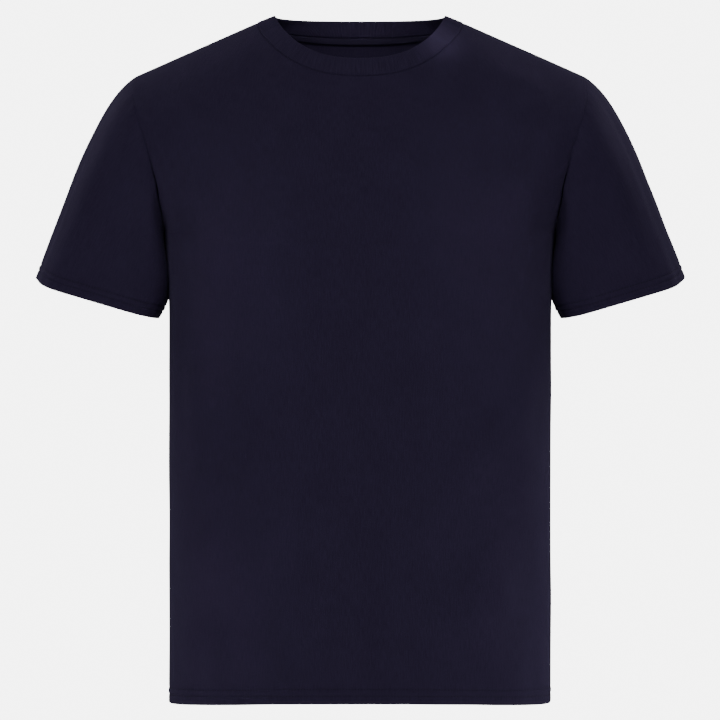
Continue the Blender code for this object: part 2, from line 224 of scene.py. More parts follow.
@dataclass(frozen=True)
class Unevenness:
    """The faint waves of cloth that has hung: many low ones of mixed length and heading."""

    seed: int
    height: float
    shortest: float = 0.030
    longest: float = 0.110
    heading_spread: float = 0.5
    count: int = 16

    def lift(self, across: Array, along: Array) -> Array:
        """How far the waves move the cloth out.

        Args:
            across: Places across the sheet.
            along: Places along it.

        Returns:
            The outward moves.
        """
        draw = np.random.default_rng(self.seed)
        total = np.zeros_like(across)
        for _ in range(self.count):
            length = draw.uniform(self.shortest, self.longest)
            heading = draw.normal(0.0, self.heading_spread)
            phase = draw.uniform(0.0, 2 * math.pi)
            turn = 2 * math.pi / length
            total += length * np.sin(turn * (across * math.cos(heading) + along * math.sin(heading)) + phase)
        return total * self.height / (self.longest * math.sqrt(self.count))


@dataclass(frozen=True)
class Pucker:
    """The short, uneven ripples that a row of stitches draws into the cloth beside it."""

    seed: int
    height: float
    shortest: float = 0.007
    longest: float = 0.024
    count: int = 14

    def wave(self, walked: Array) -> Array:
        """The ripple's height at each place along the seam.

        Args:
            walked: Distances along the seam.

        Returns:
            Heights, out positive.
        """
        draw = np.random.default_rng(self.seed)
        total = np.zeros_like(walked)
        for _ in range(self.count):
            length = draw.uniform(self.shortest, self.longest)
            phase = draw.uniform(0.0, 2 * math.pi)
            total += np.sin(2 * math.pi * walked / length + phase)
        return total * self.height / math.sqrt(self.count)


# --- Form of the body ---


def unit(vectors: Array) -> Array:
    """The vectors with length 1."""
    return vectors / np.linalg.norm(vectors, axis=-1, keepdims=True)


def walked_along(points: Array) -> Array:
    """Distances walked along a line of points, or along each row of a grid, from its first point."""
    steps = np.linalg.norm(np.diff(points, axis=-2), axis=-1)
    start = np.zeros(steps.shape[:-1] + (1,))
    return np.concatenate((start, np.cumsum(steps, axis=-1)), axis=-1)


def read_line(spots: Union[float, Array], walked: Array, values: Array) -> Array:
    """Rows of values, such as points, read at these distances along the line on which they lie."""
    return np.stack([np.interp(spots, walked, column) for column in values.T], axis=-1)


def closed(rows: Array, axis: int = 0) -> Array:
    """Rows of values with the first one repeated at the end."""
    return np.concatenate((rows, np.take(rows, [0], axis=axis)), axis=axis)


def monotone_slopes(stations: Array, values: Array) -> Array:
    """The slopes of a monotone cubic.

    Args:
        stations: Where the values lie.
        values: The values there.

    Returns:
        One slope for each value.
    """
    run = np.diff(stations)
    rise = np.diff(values) / run
    slopes = np.concatenate((rise[:1], np.zeros(len(values) - 2), rise[-1:]))
    for i in range(1, len(values) - 1):
        if rise[i - 1] * rise[i] > 0.0:
            near, far = 2 * run[i] + run[i - 1], run[i] + 2 * run[i - 1]
            slopes[i] = (near + far) / (near / rise[i - 1] + far / rise[i])
    return slopes


@dataclass
class Ring:
    """The half rings round the body at many stations: each field is an array.

    A ring's side lies beyond the panel's edge where the armhole is open.
    """

    side_x: Array
    side_z: Array
    depth: Array
    middle_z: Array
    square: Array
    fall: Array


@dataclass
class BodyForm:
    """The body's outer surface, from hem to neck, by station and turn.

    A station is the distance up the middle of the front from the hem. A turn of 0 is the +X edge, a quarter
    turn the middle and a half turn the -X edge.
    """

    levels: Tuple[Level, ...] = LEVELS
    folds: Tuple[Fold, ...] = FOLDS
    armhole_front: float = math.radians(35.0)
    armhole_back: float = math.radians(37.5)
    armhole_powers: Tuple[float, float] = (0.65, 0.50)
    back_wider: float = 0.0050
    hem_corner_lift: float = 0.0028
    hem_corner_reach: float = 0.012
    hem_depth: float = 0.017
    seam_depths: Tuple[float, ...] = (1.0, 0.9, 0.22, 0.16, 0.40)
    seam_shares: Tuple[float, float] = (0.40, 0.75)
    seam_unevenness: Pucker = Pucker(31, 0.30, 0.010, 0.036)
    ring_samples: int = 161
    station_step: float = 0.0004
    turn_step: float = 0.02
    stations: Array = field(init=False)
    rings: Dict[Side, Tuple[Array, Array]] = field(init=False)

    def __post_init__(self) -> None:
        """Works out the stations and the tables of rings."""
        pairs = zip(self.levels, self.levels[1:])
        steps = [math.dist((a.front_y, a.front_z), (b.front_y, b.front_z)) for a, b in pairs]
        self.stations = np.concatenate(([0.0], np.cumsum(steps)))
        self.rings = {side: self.ring_table(side) for side in Side}

    @property
    def underarm(self) -> float:
        """The station of the underarm."""
        return float(self.stations[UNDERARM])

    @property
    def tip(self) -> float:
        """The station of the shoulder's tip."""
        return float(self.stations[TIP])

    @property
    def neck(self) -> float:
        """The station of the neck seam."""
        return float(self.stations[-1])

    def level_ring(self, side: Side, level: Level, s: float) -> Tuple[float, ...]:
        """The half ring on which a level's panel lies.

        Args:
            side: Front or back.
            level: The level.
            s: Its station.

        Returns:
            The values of a Ring's fields.
        """
        share_open = float(self.armhole_share(np.array(s)))
        start = float(self.edge_turn(side, np.array(s)))
        if side is Side.FRONT:
            edge_x, depth, middle_z = level.edge_x, level.front_y, level.front_z
        else:
            edge_x = level.edge_x + self.back_wider * share_open ** 2
            depth, middle_z = level.back_y, level.back_z
        share = math.sin(start) ** level.fall
        side_x = edge_x / math.cos(start) ** (2 / level.square)
        side_z = (level.edge_z - share * middle_z) / (1 - share)
        return side_x, side_z, depth, middle_z, level.square, level.fall

    def ring_table(self, side: Side) -> Tuple[Array, Array]:
        """Each level's ring, and how fast its values change there: both sides of the tip rise alike."""
        rings = np.array([self.level_ring(side, level, s) for level, s in zip(self.levels, self.stations)])
        slopes = np.array([monotone_slopes(self.stations, column) for column in rings.T]).T
        slopes[TIP, :2] = (rings[-1, :2] - rings[TIP, :2]) / (self.neck - self.tip)
        return rings, slopes

    def ring_at(self, side: Side, s: Array) -> Ring:
        """Reads the table of rings.

        Args:
            side: Front or back.
            s: Stations.

        Returns:
            The ring at each station; above the tip its side runs straight to the neck.
        """
        rings, slopes = self.rings[side]
        i = np.clip(np.searchsorted(self.stations, s) - 1, 0, len(self.levels) - 2)
        run = (self.stations[i + 1] - self.stations[i])[..., None]
        t = (s - self.stations[i])[..., None] / run
        ease = t * t * (3 - 2 * t)
        values = (rings[i] + (rings[i + 1] - rings[i]) * ease
                  + run * (slopes[i] * t * (1 - t) ** 2 - slopes[i + 1] * t * t * (1 - t)))
        beyond = (s - self.tip)[..., None]
        straight = rings[TIP, :2] + slopes[TIP, :2] * beyond
        values[..., :2] = np.where(beyond > 0.0, straight, values[..., :2])
        return Ring(*np.moveaxis(values, -1, 0))

    def armhole_share(self, s: Array) -> Array:
        """How open the armhole is: 0 at the underarm and at the shoulder's tip, 1 where it is widest."""
        low, high = self.armhole_powers
        t = np.clip((s - self.underarm) / (self.tip - self.underarm), 0.0, 1.0)
        widest = low / (low + high)
        return t ** low * (1 - t) ** high / (widest ** low * (1 - widest) ** high)

    def seam_depth(self, s: Array) -> Array:
        """How far the edges roll in along the side seam, armhole and shoulder seam, as a share.

        Args:
            s: Stations along the edge.

        Returns:
            Full depth at the side, uneven up the armhole and slight over the shoulder.
        """
        up_armhole = (self.underarm + share * (self.tip - self.underarm) for share in self.seam_shares)
        places = (self.underarm, *up_armhole, self.tip, self.neck)
        return np.interp(s, places, self.seam_depths) * (1 + self.seam_unevenness.wave(s))

    def edge_turn(self, side: Side, s: Array) -> Array:
        """The turn at which the panel ends."""
        return self.armhole_share(s) * (self.armhole_front if side is Side.FRONT else self.armhole_back)

    def fold_lift(self, side: Side, x: Array, z: Array) -> Array:
        """How far the large folds of that side move the cloth out along Y."""
        total = np.zeros_like(x)
        for fold in self.folds:
            if fold.side is side:
                total += fold.lift(x, z)
        return total

    def points(self, side: Side, s: Array, turn: Array) -> Array:
        """Points of the outer surface.

        Args:
            side: Front or back.
            s: Stations.
            turn: Turns, from 0 to a half turn, of a shape that fits the stations'.

        Returns:
            Points, with the coordinates on the last axis.
        """
        s, turn = np.broadcast_arrays(s, turn)
        at = self.ring_at(side, s)
        cos, sin = np.cos(turn), np.abs(np.sin(turn))
        x = at.side_x * np.sign(cos) * np.abs(cos) ** (2 / at.square)
        y = at.depth * sin ** (2 / at.square)
        z = at.side_z + (at.middle_z - at.side_z) * sin ** at.fall
        near_hem = np.clip(1 - s / (2 * self.hem_depth), 0.0, None)
        z = z + self.hem_corner_lift * near_hem * np.exp(-(y / self.hem_corner_reach) ** 2)
        y = y + self.fold_lift(side, x, z)
        return np.stack((x, -y if side is Side.FRONT else y, z), axis=-1)

    def points_round(self, side: Side, s: Array, turn: Array) -> Array:
        """Points whose turn may pass round the edge onto the other panel."""
        other = Side.BACK if side is Side.FRONT else Side.FRONT
        inside = (turn >= 0.0) & (turn <= math.pi)
        beyond = np.where(turn < 0.0, -turn, 2 * math.pi - turn)
        own = self.points(side, s, np.clip(turn, 0.0, math.pi))
        far = self.points(other, s, np.clip(beyond, 0.0, math.pi))
        return np.where(inside[..., None], own, far)

    def normals(self, side: Side, s: Array, turn: Array) -> Array:
        """The outward normals, the same on both sides of a seam."""
        s, turn = np.broadcast_arrays(s, turn)
        low = np.clip(s - self.station_step, 0.0, None)
        high = np.clip(s + self.station_step, None, self.neck)
        along = self.points_round(side, high, turn) - self.points_round(side, low, turn)
        across = (self.points_round(side, s, turn + self.turn_step)
                  - self.points_round(side, s, turn - self.turn_step))
        out = unit(np.cross(along, across))
        return out if side is Side.FRONT else -out

    def ring(self, side: Side, s: Array) -> Tuple[Array, Array]:
        """Walks each station's row from the +X edge to the -X one.

        Args:
            side: Front or back.
            s: Stations, one for each ring.

        Returns:
            The turns of each ring's samples, and the distances walked to them.
        """
        start = self.edge_turn(side, s)[:, None]
        half = (math.pi / 2 - start) * np.linspace(0.0, 1.0, self.ring_samples) ** 2
        turns = np.concatenate((start + half, (math.pi - start - half)[:, -2::-1]), axis=1)
        return turns, walked_along(self.points(side, s[:, None], turns))


# --- Cloth as a mesh ---


@dataclass(frozen=True)
class ClothEdge:
    """How a cut edge behaves where it is sewn: it rolls in, and its ripples die out there.

    The rows nearest to it lie closer together, up to where the cloth is clear of the seam.
    """

    gap: float = 0.00005
    near: Tuple[float, ...] = (0.00035, 0.0008, 0.0014, 0.0021)
    roll_depth: float = 0.0011
    roll_reach: float = 0.0026
    roll_power: float = 2.2
    clear: float = 0.003
    held_reach: float = 0.006
    slack_reach: float = 0.022

    def steps(self) -> Array:
        """Distances from the edge of the rows that shape the roll."""
        return np.array((self.gap, *self.near))

    def roll(self, distance: Array) -> Array:
        """How far the cloth turns in at each distance from its edge."""
        return self.roll_depth * np.clip(1 - distance / self.roll_reach, 0.0, 1.0) ** self.roll_power

    def held(self, distance: Array) -> Array:
        """0 at the edge and 1 away from it, soon: how free the cloth is to follow the large folds."""
        return 1 - np.exp(-(distance / self.held_reach) ** 2)

    def slack(self, distance: Array) -> Array:
        """0 at the edge and 1 away from it, later: how free the cloth is to crease."""
        return 1 - np.exp(-(distance / self.slack_reach) ** 2)


@dataclass(frozen=True)
class HemTurn:
    """A hem turned up once and held by two rows of stitches."""

    depth: float = 0.017
    cloth: float = 0.0009
    bend: float = 0.00052
    bend_steps: int = 6
    row_step: float = 0.00095
    stitch_rows: Tuple[float, float] = (0.0084, 0.0150)
    groove_depth: float = 0.00070
    groove_reach: float = 0.0009
    ridge_height: float = 0.00035
    ridge_reach: float = 0.0020
    rows_beyond: float = 0.002
    relief_beyond: float = 0.003

    def heights(self) -> Array:
        """Heights above the edge of the hem's rows, the edge's own left out."""
        top = self.depth + self.rows_beyond
        return np.linspace(self.low, top, round(top / self.row_step))

    @property
    def low(self) -> float:
        """The height at which the cloth starts to bend round the hem's edge."""
        return self.cloth / 2 + self.bend

    def relief(self, height: Array) -> Array:
        """How far the stitches draw the cloth in and let it rise between them, up to the hem's top."""
        total = np.zeros_like(height)
        for row in self.stitch_rows:
            total -= self.groove_depth * np.exp(-((height - row) / self.groove_reach) ** 2)
        middle = sum(self.stitch_rows) / 2
        total += self.ridge_height * np.exp(-((height - middle) / self.ridge_reach) ** 2)
        return np.where(height < self.depth + self.relief_beyond, total, 0.0)

    def turned(self, outer: Array, normals: Array, heights: Array) -> Tuple[Array, Array]:
        """Adds the bend and the inner layer to a sheet whose first rows lie at the hem's heights.

        Args:
            outer: The sheet's outer points, a row for each height and then the rest.
            normals: Its outward normals.
            heights: The heights of its first rows above the hem's edge.

        Returns:
            The whole sheet's middle surface from the inner layer's cut edge up, and each row's height,
            negative on the bend and the inner layer.
        """
        middle = outer - self.cloth / 2 * normals
        upward = unit(outer[1] - outer[0])
        inner_rows = [row for row, height in enumerate(heights) if height < self.depth]
        inner = [outer[row] - (self.cloth / 2 + 2 * self.bend) * normals[row] for row in inner_rows[:0:-1]]
        inner_heights = [-(heights[row] + math.pi * self.bend) for row in inner_rows[:0:-1]]
        bend, bend_heights = [], []
        for step in range(self.bend_steps, 0, -1):
            angle = math.pi * step / self.bend_steps
            down = self.bend * math.sin(angle)
            inset = self.cloth / 2 + self.bend * (1 - math.cos(angle))
            bend.append(outer[0] - down * upward - inset * normals[0])
            bend_heights.append(heights[0] - self.bend * angle)
        every = np.concatenate((np.array(inner), np.array(bend), middle))
        beyond = heights[-1] + walked_along(np.swapaxes(outer[len(heights) - 1:], 0, 1)).mean(axis=0)[1:]
        return every, np.concatenate((inner_heights, bend_heights, heights, beyond))


def placed(name: str, data: Any) -> Object:
    """Puts a new object with that mesh, lamp or camera in the scene."""
    thing = bpy.data.objects.new(name, data)
    bpy.context.scene.collection.objects.link(thing)
    return thing


def deselect_all() -> None:
    """Leaves object mode's selection empty."""
    for other in bpy.context.selected_objects:
        other.select_set(False)


def make_active(piece: Object) -> None:
    """Selects only that object and makes it the active one."""
    deselect_all()
    piece.select_set(True)
    bpy.context.view_layer.objects.active = piece


def sheet_object(name: str, points: Array, uv: Array, ring: bool, flip: bool) -> Object:
    """Makes a mesh object from a grid of points.

    Args:
        name: The object's name.
        points: Rows of points.
        uv: The cloth's own coordinates in metres, with one column more than points on a ring.
        ring: Whether each row closes on itself.
        flip: Whether the faces' order is turned round, so that they point outwards.

    Returns:
        The object, shaded smooth, in the scene.
    """
    rows, columns = points.shape[:2]
    last = columns if ring else columns - 1
    i, j = np.meshgrid(np.arange(rows - 1), np.arange(last), indexing="ij")
    i, j = i.ravel(), j.ravel()
    corners = [(i, j), (i, j + 1), (i + 1, j + 1), (i + 1, j)]
    if flip:
        corners.reverse()
    quads = np.stack([row * columns + column % columns for row, column in corners], axis=1)
    mesh = bpy.data.meshes.new(name)
    mesh.from_pydata(points.reshape(-1, 3).tolist(), [], quads.tolist())
    layer = mesh.uv_layers.new(name=CLOTH_MAP)
    spots = np.stack([uv[row, column] for row, column in corners], axis=1)
    layer.data.foreach_set("uv", spots.astype(np.float32).ravel())
    mesh.shade_smooth()
    return placed(name, mesh)


def thicken(piece: Object, thickness: float) -> None:
    """Gives a sheet its wall, half of it on each side, with an applied Solidify modifier."""
    make_active(piece)
    wall = piece.modifiers.new("wall", "SOLIDIFY")
    wall.thickness = thickness
    wall.offset = 0.0
    wall.use_rim = True
    bpy.ops.object.modifier_apply(modifier=wall.name)


def cloth_area(points: Array) -> float:
    """The area of an open grid of points."""
    one = points[1:, :-1] - points[:-1, :-1]
    two = points[:-1, 1:] - points[:-1, :-1]
    three = points[1:, 1:] - points[:-1, 1:]
    four = points[1:, 1:] - points[1:, :-1]
    halves = np.linalg.norm(np.cross(one, two), axis=-1) + np.linalg.norm(np.cross(three, four), axis=-1)
    return float(halves.sum() / 2)


def settle(piece: Object, nodes: Sequence[str] = ()) -> Object:
    """Rides a finished piece on the garment.

    Args:
        piece: The piece.
        nodes: The solids that it stands for.

    Returns:
        The piece.
    """
    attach(piece, ROOT)
    if nodes:
        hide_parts(*nodes)
    log.info("%s: %d faces", piece.name, len(piece.data.polygons))
    return piece


# --- Pieces with a hem ---


class Hemmed:
    """A piece of jersey with a turned-up hem, such as a panel or a sleeve: how it is made and dressed."""

    stem: str
    node: str
    ring: bool
    flip: bool
    hem: HemTurn
    flat_width: float
    flat_length: float
    flat_area: float
    piece: Object
    outer: Array
    normals: Array

    def make(self, outer: Array, normals: Array, across: Array) -> None:
        """Turns the hem up and makes the sheet with its wall.

        Args:
            outer: The outer points, from the hem up.
            normals: The outward normals.
            across: Each point's place across the cloth, with one column more than points on a ring.
        """
        self.outer, self.normals = outer, normals
        sheet, heights = self.hem.turned(outer, normals, self.hem.heights())
        extra = len(sheet) - len(outer)
        spots = np.zeros((len(sheet), across.shape[1], 2))
        spots[extra:, :, 0] = across
        spots[:extra, :, 0] = across[0]
        spots[..., 1] = heights[:, None]
        self.piece = sheet_object(f"{self.stem}_cloth", sheet, spots, ring=self.ring, flip=self.flip)
        thicken(self.piece, self.hem.cloth)
        whole = closed(sheet, 1) if self.ring else sheet
        log.info("%s: %.4f square metres", self.piece.name, cloth_area(whole))

    def sew_hem(self, thread: Material) -> Object:
        """Sews the hem's two rows of stitches."""
        lines = hem_lines(self.outer, self.normals, self.hem.heights(), self.hem.stitch_rows, self.ring)
        return StitchRow(f"{self.stem}_hem_stitches").sew(lines, thread)

    def finish(self, material: Material, with_pieces: Sequence[Object]) -> None:
        """Dresses the piece.

        Args:
            material: The jersey.
            with_pieces: The seam edges and stitches that belong to it; not used.
        """
        self.piece.data.materials.append(material)
        settle(self.piece, (self.node,))


# --- Panels ---


@dataclass
class Panel(Hemmed):
    """The front or the back of the body, from its shoulder seams to its turned-up hem."""

    side: Side
    form: BodyForm
    creases: Tuple[Crease, ...]
    unevenness: Unevenness
    hem_pucker: Pucker
    flat_width: float
    flat_length: float
    flat_area: float
    neck_roll: float = 0.55
    pucker_reach: float = 0.016
    bunching: float = 0.8
    columns: int = 130
    body_step: float = 0.0042
    armhole_rows: int = 46
    shoulder_rows: int = 15
    edge: ClothEdge = ClothEdge()
    hem: HemTurn = HemTurn()

    def __post_init__(self) -> None:
        """Names the panel, and says that its rows stay open."""
        self.stem, self.node = self.side.value, f"{self.side.value}_panel"
        self.ring, self.flip = False, self.side is Side.FRONT

    def stations(self) -> Tuple[Array, Array]:
        """The stations of the rows at the panel's edges and at its middle, from hem to neck."""
        form = self.form
        hem = self.hem.heights()
        rows = math.ceil((form.underarm - hem[-1]) / self.body_step)
        body = np.linspace(hem[-1], form.underarm, rows + 1)[1:]
        steps = np.arange(1, self.armhole_rows + 1) / self.armhole_rows
        run = form.tip - form.underarm
        armhole_edge = form.underarm + run * (1 - np.cos(math.pi * steps)) / 2
        armhole_middle = form.underarm + run * steps
        near = self.edge.steps()[::-1]
        shoulder = np.linspace(form.tip, form.neck - self.edge.clear, self.shoulder_rows + 1)[1:]
        top = form.neck - near
        return (np.concatenate((hem, body, armhole_edge, shoulder, top)),
                np.concatenate((hem, body, armhole_middle, shoulder, top)))

    def places(self, whole: Array) -> Array:
        """Where each column lies on rings of these lengths: close together at the two edges.

        Args:
            whole: The rings' lengths.

        Returns:
            A row of distances from the +X edge for each ring.
        """
        near = self.edge.steps()
        share = np.linspace(0.0, 1.0, self.columns + 1)
        middle = self.edge.clear + share * (whole[:, None] - 2 * self.edge.clear)
        left = np.broadcast_to(near, (len(whole), len(near)))
        right = whole[:, None] - near[::-1]
        return np.concatenate((left, middle, right), axis=1)

    def grid(self) -> Tuple[Array, Array, Array, Array]:
        """Lays the grid of the outer surface.

        Returns:
            Its stations, turns, distances from the nearer side edge and signed distances from the middle.
        """
        edge_rows, middle_rows = self.stations()
        count = self.columns + 1 + 2 * len(self.edge.steps())
        across = np.abs(2 * np.arange(count) / (count - 1) - 1)
        inward = np.sin(math.pi / 2 * (1 - across)) ** self.bunching
        stations, turns, distances, middles = [], [], [], []
        for low, high in zip(edge_rows, middle_rows):
            s = low + (high - low) * inward
            ring_turns, walked = self.form.ring(self.side, s)
            place = self.places(walked[:, -1])
            spot = place[np.arange(count), np.arange(count)]
            turn = [np.interp(d, w, a) for d, w, a in zip(spot, walked, ring_turns)]
            stations.append(s)
            turns.append(turn)
            distances.append(np.minimum(spot, walked[:, -1] - spot))
            middles.append(walked[:, -1] / 2 - spot)
        return np.array(stations), np.array(turns), np.array(distances), np.array(middles)

    def build(self) -> None:
        """Makes the panel's cloth."""
        stations, turns, from_edge, across = self.grid()
        base = self.form.points(self.side, stations, turns)
        normals = self.form.normals(self.side, stations, turns)
        from_neck = walked_along(np.swapaxes(base[::-1], 0, 1)).T[::-1]
        sign = -1.0 if self.side is Side.FRONT else 1.0
        fold = self.form.fold_lift(self.side, base[..., 0], base[..., 2])
        base[..., 1] -= sign * fold * (1 - self.edge.held(from_edge))
        lift = np.zeros_like(across)
        for crease in self.creases:
            lift += crease.lift(across, base[..., 2])
        lift += self.unevenness.lift(across, base[..., 2])
        lift *= self.edge.slack(from_edge) * self.edge.slack(from_neck)
        near_hem = np.exp(-(stations / self.pucker_reach) ** 2) * self.edge.held(from_edge)
        lift += self.hem_pucker.wave(across) * near_hem
        lift += self.hem.relief(stations)
        lift -= self.edge.roll(from_edge) * self.form.seam_depth(stations)
        lift -= self.edge.roll(from_neck) * self.neck_roll
        self.make(base + lift[..., None] * normals, normals, across)


# --- Sleeves ---


@dataclass(frozen=True)
class SleeveForm:
    """The outer surface of the +X sleeve, from its armhole to its hem.

    An angle of 0 is the top of the sleeve, a quarter turn its front and a half turn its underside.
    """

    body: BodyForm
    cuff_centre: Point = (0.2728, 0.0040, -0.2892)
    cuff_half_width: float = 0.0664
    cuff_half_depth: float = 0.0530
    cuff_squares: Tuple[float, float] = (2.3, 5.0)
    cuff_lift_power: int = 8
    cuff_tilt: float = math.radians(16.5)
    cuff_outer_lift: float = 0.0070
    cuff_inner_lift: float = 0.0025
    leaves: Tuple[Tuple[float, float], Tuple[float, float]] = ((0.857, -0.515), (0.050, -0.999))
    lands: Tuple[Tuple[float, float], Tuple[float, float]] = ((0.349, -0.937), (0.550, -0.835))
    leave_forward: float = 0.10
    leave_reach: Tuple[float, float] = (0.0415, 0.030)
    land_reach: Tuple[float, float] = (0.141, 0.045)
    clearance: float = 0.0012
    clearance_onset: float = 0.010
    half_loop: int = 60
    path_samples: int = 161

    def loop_stations(self) -> Tuple[Array, Array]:
        """The stations of the armhole's points down the front, and then up the back."""
        steps = np.arange(self.half_loop + 1) / self.half_loop
        run = self.body.tip - self.body.underarm
        down = self.body.underarm + run * (1 + np.cos(math.pi * steps)) / 2
        return down, down[-2:0:-1]

    def loop(self) -> Tuple[Array, Array]:
        """The armhole on the body, from the shoulder's tip down the front and up the back.

        Returns:
            Its points and the body's outward normals there.
        """
        points, normals = [], []
        for side, s in zip(Side, self.loop_stations()):
            turn = self.body.edge_turn(side, s)
            points.append(self.body.points(side, s, turn))
            normals.append(self.body.normals(side, s, turn))
        return np.concatenate(points), np.concatenate(normals)

    def angles(self, loop: Array) -> Array:
        """The sleeve's angle at each point of its armhole, in step with the distance walked."""
        walked = walked_along(closed(loop))
        bottom = len(loop) // 2
        down = math.pi * walked[:bottom] / walked[bottom]
        up = math.pi + math.pi * (walked[bottom:-1] - walked[bottom]) / (walked[-1] - walked[bottom])
        return np.concatenate((down, up))

    def cuff(self, angle: Array) -> Array:
        """The points of the hem's edge at these angles."""
        along = np.array((math.cos(self.cuff_tilt), 0.0, math.sin(self.cuff_tilt)))
        axis = np.array((math.sin(self.cuff_tilt), 0.0, -math.cos(self.cuff_tilt)))
        turn = np.linspace(0.0, math.pi, self.path_samples)
        square = np.where(turn < math.pi / 2, self.cuff_squares[0], self.cuff_squares[1])
        half = np.stack((np.sign(np.cos(turn)) * np.abs(np.cos(turn)) ** (2 / square),
                         np.abs(np.sin(turn)) ** (2 / square)), axis=1)
        walked = walked_along(half * (self.cuff_half_width, self.cuff_half_depth))
        spot = (1 - np.abs(1 - angle / math.pi)) * walked[-1]
        out, forward = read_line(spot, walked, half).T
        points = np.array(self.cuff_centre) + self.cuff_half_width * out[:, None] * along
        points[:, 1] -= self.cuff_half_depth * forward * np.sign(math.pi - angle)
        lift = (self.cuff_outer_lift * np.clip(out, 0.0, None) ** self.cuff_lift_power
                + self.cuff_inner_lift * np.clip(-out, 0.0, None) ** self.cuff_lift_power)
        return points - lift[:, None] * axis

    def beside_body(self, points: Array) -> Array:
        """Keeps the points just outside the body below the underarm."""
        s = np.interp(points[..., 2], [level.edge_z for level in self.body.levels], self.body.stations)
        front, back = (self.body.ring_at(side, s) for side in Side)
        depth = np.where(points[..., 1] < 0.0, front.depth, back.depth)
        across = np.clip(1 - (np.abs(points[..., 1]) / depth) ** front.square, 0.0, None)
        limit = front.side_x * across ** (1 / front.square) + self.clearance
        below = np.clip((self.body.underarm - s) / self.clearance_onset, 0.0, 1.0)
        moved = points.copy()
        moved[..., 0] += np.clip((limit - points[..., 0]) * below, 0.0, None)
        return moved

    def paths(self, loop: Array, angle: Array) -> Array:
        """The curves that the cloth follows from the armhole to the hem.

        Args:
            loop: The armhole's points.
            angle: Their angles.

        Returns:
            Points by curve and sample.
        """
        low = ((1 - np.cos(angle)) / 2)[:, None]

        def mix(pair: Sequence) -> Array:
            """From the pair's first value at the top of the sleeve to its second under the arm."""
            return (1 - low) * np.array(pair[0]) + low * np.array(pair[1])

        leave, land = mix(self.leaves), mix(self.lands)
        forward = -self.leave_forward * np.sin(angle)
        leave = unit(np.stack((leave[:, 0], forward, leave[:, 1]), axis=1))
        land = unit(np.stack((land[:, 0], np.zeros(len(angle)), land[:, 1]), axis=1))
        start, end = loop, self.cuff(angle)
        two, three = start + mix(self.leave_reach) * leave, end - mix(self.land_reach) * land
        t = np.linspace(0.0, 1.0, self.path_samples)[None, :, None]
        a, b, c, d = (point[:, None] for point in (start, two, three, end))
        curves = (1 - t) ** 3 * a + 3 * (1 - t) ** 2 * t * b + 3 * (1 - t) * t * t * c + t ** 3 * d
        return self.beside_body(curves)


@dataclass
class Sleeve(Hemmed):
    """A set-in short sleeve with a turned-up hem."""

    hand: Hand
    form: SleeveForm
    creases: Tuple[Crease, ...]
    unevenness: Unevenness
    cap_pucker: Pucker
    hem_pucker: Pucker
    flat_width: float
    flat_length: float
    flat_area: float
    middle_rows: int = 44
    cap_pucker_reach: float = 0.006
    hem_pucker_reach: float = 0.018
    free_below: float = 0.25
    alike_from: float = 0.3
    alike_run: float = 0.4
    edge: ClothEdge = ClothEdge()
    hem: HemTurn = HemTurn(stitch_rows=(0.0087, 0.0145))

    def __post_init__(self) -> None:
        """Names the sleeve, and says that its rows close on themselves."""
        self.stem = self.node = f"sleeve_{self.hand.word}"
        self.ring, self.flip = True, self.hand is Hand.LEFT

    def grid(self) -> Tuple[Array, Array]:
        """Lays the +X sleeve's outer surface.

        Returns:
            Rows of points from the hem to the armhole, and each point's distance to the armhole.
        """
        loop, _ = self.form.loop()
        angle = self.form.angles(loop)
        curves = self.form.paths(loop, angle)
        walked = walked_along(curves)
        heights, near = self.hem.heights(), self.edge.steps()[::-1]
        columns = []
        for curve, distance in zip(curves, walked):
            whole = distance[-1]
            middle = np.linspace(whole - heights[-1], self.edge.clear, self.middle_rows + 1)[1:]
            spots = np.concatenate((whole - heights, middle, near))
            points = read_line(spots, distance, curve)
            columns.append(np.concatenate((points, spots[:, None]), axis=1))
        grid = np.swapaxes(np.array(columns), 0, 1)
        return grid[..., :3], grid[..., 3]

    def outward(self, points: Array) -> Array:
        """The outward normals of the grid, level with the body's at the armhole where they are alike."""
        along = np.gradient(points, axis=0)
        across = (np.roll(points, -1, axis=1) - np.roll(points, 1, axis=1)) / 2
        normals = unit(np.cross(along, across))
        centre = points.mean(axis=1, keepdims=True)
        if np.sum(normals * (points - centre)) < 0.0:
            normals = -normals
        _, body = self.form.loop()
        level = np.sum(normals[-1] * body, axis=1, keepdims=True)
        alike = np.clip((level - self.alike_from) / self.alike_run, 0.0, 1.0)
        rows = len(self.edge.steps())
        for row in range(1, rows + 1):
            share = alike * (1 - (row - 1) / rows)
            normals[-row] = unit(normals[-row] * (1 - share) + body * share)
        return normals

    def build(self) -> None:
        """Makes the sleeve's cloth."""
        points, from_cap = self.grid()
        normals = self.outward(points)
        height = from_cap[:1] + self.hem.heights()[0] - from_cap
        round_way = walked_along(closed(points, 1))
        middle = round_way - round_way[:, -1:] / 2
        across = middle[:, :-1]
        angle = 2 * math.pi * np.arange(points.shape[1]) / points.shape[1]
        lift = np.zeros_like(across)
        for crease in self.creases:
            for turn in (-1, 0, 1):
                lift += crease.lift(angle + 2 * math.pi * turn, points[..., 2])
        lift += self.unevenness.lift(across, points[..., 2])
        free = self.free_below + (1 - self.free_below) * np.cos(angle / 2) ** 2
        lift *= self.edge.slack(from_cap) * free
        lift += self.cap_pucker.wave(across[-1]) * np.exp(-(from_cap / self.cap_pucker_reach - 1) ** 2)
        lift += self.hem_pucker.wave(across[0]) * np.exp(-(height / self.hem_pucker_reach) ** 2)
        lift += self.hem.relief(height)
        seam_depth = self.form.body.seam_depth(np.concatenate(self.form.loop_stations()))
        lift -= self.edge.roll(from_cap) * seam_depth
        mirror = (self.hand.value, 1, 1)
        self.make((points + lift[..., None] * normals) * mirror, normals * mirror, middle)


# --- Neckband and tape ---


